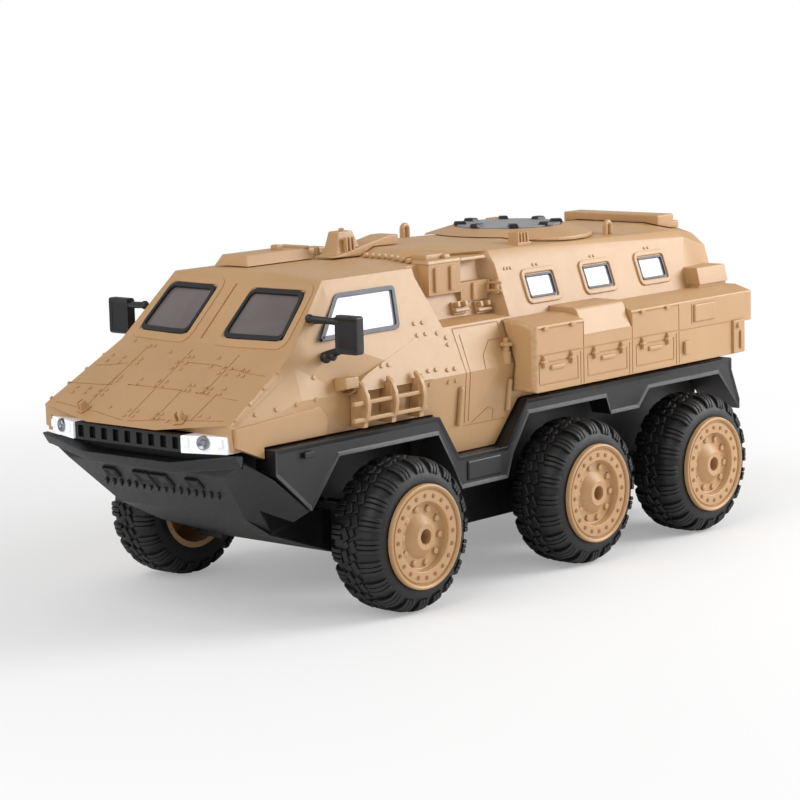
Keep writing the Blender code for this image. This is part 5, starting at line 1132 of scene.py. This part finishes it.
# Mirrors: black heads with a sunk face, each on two arms that end in round knobs. They are moulded in
# black plastic and screwed to the cab's front corners.
MIRROR_EDGE, MIRROR_RIM, MIRROR_DEPTH = 1.0, 1.3, 0.6
HEAD_IN = 64.7
KNOBS = ((33.6, 50.6, 130.0, 2.0), (30.5, 56.6, 113.4, 2.5), (31.0, 61.0, 114.2, 1.9))
KNOB_STEPS = 7
ARMS = (((33.6, 50.6, 130.0), (30.4, 65.0, 129.0)), ((30.5, 56.6, 113.4), (30.4, 66.5, 117.5)))
ARM_RADIUS = 1.5


def rod(start, end, radius):
    """A round bar between two points, its ends eased. Sizes in mm."""
    first, second = place(*start), place(*end)
    bpy.ops.mesh.primitive_cylinder_add(vertices=12, radius=radius * MM, depth=(second - first).length)
    piece = bpy.context.object
    piece.data.transform((second - first).to_track_quat("Z", "X").to_matrix().to_4x4())
    piece.data.transform(Matrix.Translation((first + second) / 2))
    along = (second - first).normalized()
    pick(piece, lambda middle, normal: abs(normal.dot(along)) > FACING)
    bpy.ops.mesh.bevel(offset=0.2 * radius * MM, segments=2, affect="EDGES")
    done()
    return piece


for hand, side in SIDES.items():
    mirror = eased(copied("mirror_" + hand, "door_mirror_" + hand), MIRROR_EDGE, 3)
    head_front = max(point.co.x for point in mirror.data.vertices if side * point.co.y > HEAD_IN * MM)
    pick(mirror, lambda middle, normal: normal.x > FACING_FLAT and middle.x > head_front - 0.05 * MM)
    bpy.ops.mesh.inset(thickness=MIRROR_RIM * MM, depth=-MIRROR_DEPTH * MM)
    done()
    smoothed(mirror, True)
    keep(mirror, BLACK, "black_plastic", "chassis", "mirror_" + hand)
    knobs = []
    for x, y, z, radius in KNOBS:
        angles = [math.pi * (step / KNOB_STEPS - 0.5) for step in range(KNOB_STEPS + 1)]
        ball = turned("knob", [(abs(radius * math.cos(a)), radius * math.sin(a)) for a in angles], 14)
        knobs += repeated(ball, [Matrix.Translation(place(x, side * y, z))])
    for (x1, y1, z1), (x2, y2, z2) in ARMS:
        knobs.append(rod((x1, side * y1, z1), (x2, side * y2, z2), ARM_RADIUS))
    fitted("mirror_knobs_" + hand, knobs, BLACK, "black_plastic")

# Side racks: sand-coloured tool racks of two rails on three posts, moulded apart and pressed onto pegs,
# each post faced by a curved fin, with a bracket in front and a latch plate behind.
FIN_OUTLINE = (
    (65.4, 83.4),
    (67.4, 87.0),
    (68.2, 91.5),
    (67.4, 96.0),
    (65.2, 100.2),
    (62.2, 102.4),
    (62.0, 100.6),
    (64.4, 97.0),
    (65.6, 91.5),
    (64.4, 86.0),
)
RACK_EDGE, FIN_EDGE = 0.45, 0.4
FIN_WIDTH = 2.2
FIN_SPOTS = (-19.9, -1.8, 16.3)
BRACKET_SPOT, BRACKET = (21.0, 101.0), (10.0, 6.0, 6.5)
PLATE_SPOT, PLATE = (-11.5, 88.5), (5.0, 9.0, 3.4)
for hand, side in SIDES.items():
    rack = eased(copied("side_rack_" + hand, "tool_rack_" + hand), RACK_EDGE)
    keep(rack, SAND, "sand_plastic", "chassis", "side_rack_" + hand)
    fins = []
    for x in FIN_SPOTS:
        fin = slab([(side * y, z) for y, z in FIN_OUTLINE], FIN_WIDTH)
        fins += repeated(eased(fin, FIN_EDGE), [Matrix.Translation(place(x, 0, 0))])
    fins += repeated(block(BRACKET, 0.7, (0.8, 0.8)), [stand(on_side(*BRACKET_SPOT, side))])
    fins += repeated(block(PLATE, 0.6, (0.8, 0.9)), [stand(on_side(*PLATE_SPOT, side))])
    fitted("rack_fins_" + hand, fins, SAND, "sand_plastic")

# Side lockers: a bank of three lids and a tail box moulded in one piece on each side, marked off by seams,
# with hinges along the top, crossed latches and a pull handle below, and a taller second lid.
LID_SPLITS = (-123.5, -161.0, -198.5)
LOCKER_FRONT = -87.4
LOCKER_LOW, HINGE_LINE, LID_LINE = 84.0, 113.0, 101.0
TALL_OUTLINE = (
    (75.0, 107.0),
    (70.9, 117.4),
    (70.0, 118.7),
    (68.4, 119.4),
    (52.0, 119.4),
    (52.0, 110.0),
    (60.0, 107.0),
)
TALL_CUT = ((73.0, 107.0), (90.0, 107.0), (90.0, 125.0), (64.0, 125.0), (64.0, 112.0))
TALL_MIDDLE, TALL_WIDTH, TALL_GAP = -142.3, 36.6, 0.6
LOCKER_EDGE, TALL_EDGE = 0.6, 0.5
LATCH_BAR, LATCH_CROSS = (6.2, 1.8, 1.5), (4.2, 1.5, 1.9)
PULL_HANDLE, LID_HINGE = (10.5, 2.4, 1.0), (3.0, 1.8, 1.2)
LATCH_SPOTS = (-93.4, -114.0, -131.3, -152.1, -168.6, -188.7)
HINGE_SPOTS = (-95.3, -115.2, -169.0, -189.0)
LID_PANELS = ((-90.5, -119.0), (-126.5, -156.5), (-164.0, -194.0))
LID_EDGES = (-121.2, -158.7, -196.2)
PANEL_HIGH, PANEL_LOW = 97.6, 87.6
LATCH_Z, HANDLE_Z = 98.0, 94.8
TAIL_LINE = ((-199.0, 100.6), (-249.0, 100.6))
TAIL_PANEL, TAIL_PANEL_SPOT = (18.0, 9.0, 1.1), (-219.5, 107.8)
TAIL_SLOT = ((-209.0, 103.0), (-209.0, 112.2))
TAIL_BLOCK, TAIL_BLOCK_SPOT = (4.2, 6.4, 1.6), (-204.0, 92.0)
TAIL_POST, TAIL_POST_SPOT = (9.6, 6.4, 16.4), (-247.8, 73.1, 84.4)
POST_RIB, POST_RIB_Z, POST_KNOB_Z = (9.0, 1.6, 1.0), 91.0, 98.2
CORNER_FILL, CORNER_SPOT = (23.0, 10.0, 3.4), (-247.3, 55.8, 115.8)
END_ROUND = 2.6


def rounded(piece, test, width, steps):
    """Rounds off the edges whose two ends pass a test, by a width in mm."""
    shape(piece, "EDGE")
    done()
    for edge in piece.data.edges:
        edge.select = all(test(piece.data.vertices[number].co) for number in edge.vertices)
    give_slots(piece)
    bpy.ops.object.mode_set(mode="EDIT")
    bpy.ops.mesh.bevel(offset=width * MM, segments=steps, affect="EDGES", material=STRIP_SLOT)
    done()


for hand, side in SIDES.items():
    lockers = copied("side_lockers_" + hand, "locker_bank_" + hand)
    locker_skin = skin_of(lockers)
    outwards = Vector((0, side, 0))

    def on_locker(x, z):
        """The spot on this locker bank at (x, z), in mm."""
        return hit(locker_skin, place(x, side * FROM_BESIDE, z), -outwards)

    lines = [((x, HINGE_LINE), (x, LOCKER_LOW + 1.2)) for x in LID_SPLITS]
    lines += [((x, LID_LINE - 1.6), (x, LOCKER_LOW + 1.2)) for x in LID_EDGES]
    lines.append(((LOCKER_FRONT - 3.2, LID_LINE), (LID_SPLITS[2], LID_LINE)))
    lines.append(((LOCKER_FRONT - 3.2, HINGE_LINE), (LID_SPLITS[0], HINGE_LINE)))
    lines.append(((LID_SPLITS[1], HINGE_LINE), (LID_SPLITS[2], HINGE_LINE)))
    lines += [TAIL_LINE, TAIL_SLOT]
    for front, rear in LID_PANELS:
        corners = [(front, PANEL_HIGH), (front, PANEL_LOW), (rear, PANEL_LOW), (rear, PANEL_HIGH)]
        lines.append(corners + corners[:1])
    bars = []
    for line in lines:
        bars += seam_run([on_locker(x, z) for x, z in line])
    notch = slab([(side * y, z) for y, z in TALL_CUT], TALL_WIDTH)
    bars += repeated(notch, [Matrix.Translation(place(TALL_MIDDLE, 0, 0))])
    latches = [on_locker(x, LATCH_Z) for x in LATCH_SPOTS]
    handles = [on_locker((x1 + x2) / 2, HANDLE_Z) for x1, x2 in zip(LATCH_SPOTS[::2], LATCH_SPOTS[1::2])]
    hinges = [on_locker(x, HINGE_LINE) for x in HINGE_SPOTS]
    parts = repeated(block(LATCH_BAR, 0.4, (0.8, 0.8)), [stand(spot, UPRIGHT) for spot in latches])
    parts += repeated(block(LATCH_CROSS, 0.4, (0.8, 0.8)), [stand(spot) for spot in latches])
    parts += repeated(block(PULL_HANDLE, 0.4, (0.9, 0.7)), [stand(spot) for spot in handles])
    parts += repeated(block(LID_HINGE, 0.4), [stand(spot) for spot in hinges])
    parts += repeated(block(TAIL_PANEL, 0.5, (0.95, 0.9)), [stand(on_locker(*TAIL_PANEL_SPOT))])
    parts += repeated(block(TAIL_BLOCK, 0.5), [stand(on_locker(*TAIL_BLOCK_SPOT))])
    x, y, z = TAIL_POST_SPOT
    post_face = side * (y + TAIL_POST[1] / 2)
    parts += repeated(block(TAIL_POST, 0.6), [Matrix.Translation(place(x, side * y, z))])
    rib_spot = (place(x - 0.8, post_face, POST_RIB_Z), outwards)
    knob_spot = (place(x + 1.4, post_face, POST_KNOB_Z), outwards)
    parts += repeated(block(POST_RIB, 0.4), [stand(rib_spot, UPRIGHT)])
    parts += repeated(stud(1.3, 1.2, 12, 0.6), [stand(knob_spot)])
    x, y, z = CORNER_SPOT
    parts += repeated(block(CORNER_FILL, 0.6), [Matrix.Translation(place(x, side * y, z))])
    front_end = place(LOCKER_FRONT - 0.3, 0, 0).x
    rounded(lockers, lambda point: point.x > front_end, END_ROUND, 4)
    eased(lockers, LOCKER_EDGE)
    engrave(lockers, bars)
    keep(lockers, (SAND, SEAM_SHADE_SAND), "sand_plastic", "chassis", "side_lockers_" + hand)
    tall = slab([(side * y, z) for y, z in TALL_OUTLINE], TALL_WIDTH - TALL_GAP)
    tall.data.transform(Matrix.Translation(place(TALL_MIDDLE, 0, 0)))
    tall.name = "locker_tall_lid_" + hand
    eased(tall, TALL_EDGE)
    keep(tall, SAND, "sand_plastic", "chassis")
    fitted("locker_latches_" + hand, parts, SAND, "sand_plastic")

# Roof: the driver's hatch and the fairing with its sensor box over the cab, then the round hatch and the
# beam across the tail. All are sand mouldings snapped in from above, but for the round hatch's grey lid.
ROOF_EDGE, RING_EDGE, BEAM_EDGE = 0.5, 0.4, 0.7
HATCH_DRAW = (0.88, 0.72, 1.0)
SENSOR_TOP, SENSOR_DRAW = 157.5, (0.62, 0.7, 1.0)
hatch = copied("driver_hatch", "cab_hatch")
pick(hatch, lambda middle, normal: normal.z > FACING)
bpy.ops.transform.resize(value=HATCH_DRAW)
done()
eased(hatch, ROOF_EDGE)
keep(hatch, SAND, "sand_plastic", "chassis", "driver_hatch")
fairing = copied("roof_fairing", "cab_fairing")
pick(fairing, lambda middle, normal: normal.z > FACING and middle.z > SENSOR_TOP * MM)
bpy.ops.transform.resize(value=SENSOR_DRAW)
done()
eased(fairing, ROOF_EDGE)
keep(fairing, SAND, "sand_plastic", "chassis", "roof_fairing")
ring = eased(copied("round_hatch_ring", "hatch_ring"), RING_EDGE, facets=False)
keep(ring, SAND, "sand_plastic", "chassis", "round_hatch_ring")
beam = eased(copied("roof_beam", "tail_beam"), BEAM_EDGE)
keep(beam, SAND, "sand_plastic", "chassis", "roof_beam")
LID_GREY = moulded("grey_lid", (0.56, 0.56, 0.56), (0.5, 0.5, 0.5), (0.66, 0.66, 0.66), 0.35, 0.3)
lid = eased(copied("round_hatch_lid", "hatch_lid"), RING_EDGE, facets=False)
keep(lid, LID_GREY, "grey_lid", "chassis", "round_hatch_lid")

# Hatch clamps: eight black blocks set round the edge of the round hatch's lid, each drawn in towards its
# top. They are moulded in black plastic and pressed on.
HATCH_X, CLAMP_FOOT = -162.0, 152.6
CLAMPS, CLAMP_RING = 8, 23.5
HATCH_CLAMP = (6.4, 5.0, 1.8)
hatch_middle = Matrix.Translation(place(HATCH_X, 0, CLAMP_FOOT))
clamp_spots = [hatch_middle @ spot for spot in round_ring(CLAMPS, CLAMP_RING, 0)]
clamps = repeated(block(HATCH_CLAMP, 0.4, (0.8, 0.8)), clamp_spots)
fitted("hatch_clamps", clamps, BLACK, "black_plastic")

# Roof fittings: two louvred vents and two lifting lugs on the cabin roof, pegs beside the driver's hatch,
# the knob and rim on that hatch, and the stud and ribs of the sensor box. All are sand mouldings.
LOUVRE_BASE, LOUVRE_BASE_SINK = (10.0, 7.5, 2.2), 1.2
LOUVRE_FIN, LOUVRE_FIN_SINK = (1.3, 6.6, 6.2), 0.5
LOUVRE_FINS, LOUVRE_STEP = 4, 2.3
LUG_RADIUS, LUG_THICKNESS, LUG_LEG = 1.9, 1.25, 4.2
PEG_RADIUS, PEG_HEIGHT = 1.2, 5.0
LOUVRES, LUGS = ((-126.0, 35.5), (-195.0, -35.5)), ((-195.0, 35.5), (-126.0, -35.5))
PEGS = ((-38.5, -27.0), (-38.5, -20.5), (-38.5, -12.0))
HATCH_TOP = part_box("driver_hatch")[1].z / MM
HATCH_KNOB, HATCH_KNOB_SPOT = (4.2, 4.2, 2.6), (-20.0, -19.5, HATCH_TOP - 0.3)
HATCH_RIM, HATCH_RIM_SPOT = (3.6, 16.0, 1.6), (-31.5, -19.5, HATCH_TOP - 0.5)
STUD_RADIUS, STUD_HEIGHT, STUD_SPOT = 1.4, 1.6, (-45.5, -2.8, SENSOR_TOP + 0.8)
SENSOR_RIB, SENSOR_RIB_SPOTS = (1.3, 2.6, 7.5), (-47.9, -45.5, -43.1)
SENSOR_RIB_Y, SENSOR_RIB_FOOT = 1.8, SENSOR_TOP - 9.0


def arch(radius, thickness, leg):
    """A bent bar standing on the floor at the origin, its two ends closed. Sizes in mm."""
    bpy.ops.mesh.primitive_circle_add(vertices=10, radius=thickness * MM, location=(radius * MM, 0, 0))
    piece = bpy.context.object
    bpy.ops.object.transform_apply()
    shape(piece, "VERT")
    bpy.ops.mesh.select_all(action="SELECT")
    bpy.ops.mesh.extrude_region_move(TRANSFORM_OT_translate={"value": (0, 0, leg * MM)})
    bpy.ops.mesh.spin(steps=10, angle=math.pi, center=(0, 0, leg * MM), axis=(0, 1, 0))
    bpy.ops.mesh.extrude_region_move(TRANSFORM_OT_translate={"value": (0, 0, -leg * MM)})
    bpy.ops.mesh.select_all(action="SELECT")
    bpy.ops.mesh.fill_holes(sides=0)
    bpy.ops.mesh.normals_make_consistent(inside=False)
    done()
    smoothed(piece)
    return piece


vents = []
for x, y in LOUVRES:
    foot = on_top(x, y)[0]
    base_foot = foot - Vector((0, 0, LOUVRE_BASE_SINK * MM))
    vents += repeated(block(LOUVRE_BASE, 0.4), [Matrix.Translation(base_foot)])
    for number in range(LOUVRE_FINS):
        along = (number - (LOUVRE_FINS - 1) / 2) * LOUVRE_STEP
        fin_foot = foot + Vector((along * MM, 0, -LOUVRE_FIN_SINK * MM))
        vents += repeated(block(LOUVRE_FIN, 0.4, (0.8, 0.9)), [Matrix.Translation(fin_foot)])
for x, y in LUGS:
    vents += repeated(arch(LUG_RADIUS, LUG_THICKNESS, LUG_LEG), [Matrix.Translation(on_top(x, y)[0])])
pegs = [Matrix.Translation(on_top(x, y)[0]) for x, y in PEGS]
vents += repeated(stud(PEG_RADIUS, PEG_HEIGHT, 10, 0.6), pegs)
vents += repeated(block(HATCH_KNOB, 0.7), [Matrix.Translation(place(*HATCH_KNOB_SPOT))])
vents += repeated(block(HATCH_RIM, 0.5), [Matrix.Translation(place(*HATCH_RIM_SPOT))])
vents += repeated(stud(STUD_RADIUS, STUD_HEIGHT, 12, 0.6), [Matrix.Translation(place(*STUD_SPOT))])
ribs = [Matrix.Translation(place(x, SENSOR_RIB_Y, SENSOR_RIB_FOOT)) for x in SENSOR_RIB_SPOTS]
vents += repeated(block(SENSOR_RIB, 0.4, (1.0, 0.6)), ribs)
fitted("roof_fittings", vents, SAND, "sand_plastic")

# Studio: a pale paper floor that fades to white, under even light with one broad lamp in front and one
# behind. The camera stands where the photograph was taken from.
FLOOR_SIZE = 40.0
FLOOR_GREY, FLOOR_ROUGHNESS = (0.9, 0.9, 0.9, 1), 0.8
WHITE = (1, 1, 1, 1)
FADE_START, FADE_END = 0.28, 0.62
SHADOW_LIFT = 0.3
WORLD_LEVEL = 0.5
bpy.ops.mesh.primitive_plane_add(size=FLOOR_SIZE)
floor = bpy.context.object
floor.name = "studio_floor"
paper = bpy.data.materials.new("floor_paper")
paper.use_nodes = True
tree = paper.node_tree
sheet = tree.nodes["Principled BSDF"]
sheet.inputs["Base Color"].default_value = FLOOR_GREY
sheet.inputs["Roughness"].default_value = FLOOR_ROUGHNESS
where = tree.nodes.new("ShaderNodeTexCoord").outputs["Object"]
away = add_node(tree, "ShaderNodeVectorMath", {0: where}, operation="LENGTH")
fade = add_node(
    tree,
    "ShaderNodeMapRange",
    {"Value": away.outputs["Value"], "From Min": FADE_START, "From Max": FADE_END, "To Min": SHADOW_LIFT},
    interpolation_type="SMOOTHSTEP",
)
rays = tree.nodes.new("ShaderNodeLightPath").outputs
straight = add_node(
    tree, "ShaderNodeMath", {0: rays["Is Camera Ray"], 1: fade.outputs["Result"]}, operation="MULTIPLY"
)
white = add_node(tree, "ShaderNodeEmission", {"Color": WHITE, "Strength": 1.0})
blend = add_node(
    tree,
    "ShaderNodeMixShader",
    {0: straight.outputs["Value"], 1: sheet.outputs["BSDF"], 2: white.outputs["Emission"]},
)
tree.links.new(blend.outputs["Shader"], tree.nodes["Material Output"].inputs["Surface"])
floor.data.materials.append(paper)

world = bpy.data.worlds.new("studio")
bpy.context.scene.world = world
world.use_nodes = True
tree = world.node_tree
sky = tree.nodes["Background"]
sky.inputs["Color"].default_value = WHITE
rays = tree.nodes.new("ShaderNodeLightPath").outputs
level = add_node(
    tree, "ShaderNodeMapRange", {"Value": rays["Is Camera Ray"], "To Min": WORLD_LEVEL, "To Max": 1.0}
)
tree.links.new(level.outputs["Result"], sky.inputs["Strength"])

LAMPS = (
    ("sheen_light", (-0.75, 0.6, 0.5), 0.6, 8.6),
    ("front_light", (1.3, 0.0, 1.15), 1.4, 14.0),
)
LAMP_AIM = Vector((0, 0, 0.07))
for name, spot, size, power in LAMPS:
    light = bpy.data.lights.new(name, "AREA")
    light.size = size
    light.energy = power
    lamp = bpy.data.objects.new(name, light)
    lamp.location = spot
    lamp.rotation_euler = (LAMP_AIM - Vector(spot)).to_track_quat("-Z", "Y").to_euler()
    bpy.context.scene.collection.objects.link(lamp)

CAMERA_YAW, CAMERA_PITCH, CAMERA_ROLL = (math.radians(v) for v in (221.67, -8.58, -1.5))
CAMERA_FOCUS = 2734.0
PHOTO_WIDTH = 800.0
SENSOR_WIDTH, VIEW_REACH = 36.0, 200.0
CAMERA_PLACE = place(867.23, 842.61, 267.59)
ahead = Vector(
    (
        math.cos(CAMERA_PITCH) * math.cos(CAMERA_YAW),
        math.cos(CAMERA_PITCH) * math.sin(CAMERA_YAW),
        math.sin(CAMERA_PITCH),
    )
)
right = ahead.cross(Vector((0, 0, 1))).normalized()
up = right.cross(ahead)
tilted_right = math.cos(CAMERA_ROLL) * right + math.sin(CAMERA_ROLL) * up
tilted_up = math.cos(CAMERA_ROLL) * up - math.sin(CAMERA_ROLL) * right
camera = bpy.data.objects.new("camera", bpy.data.cameras.new("camera"))
camera.data.sensor_width = SENSOR_WIDTH
camera.data.lens = SENSOR_WIDTH * CAMERA_FOCUS / PHOTO_WIDTH
camera.data.clip_end = VIEW_REACH
camera.matrix_world = (
    Matrix.Translation(CAMERA_PLACE) @ Matrix((tilted_right, tilted_up, -ahead)).transposed().to_4x4()
)
bpy.context.scene.collection.objects.link(camera)
bpy.context.scene.camera = camera
bpy.context.scene.view_settings.view_transform = "Standard"
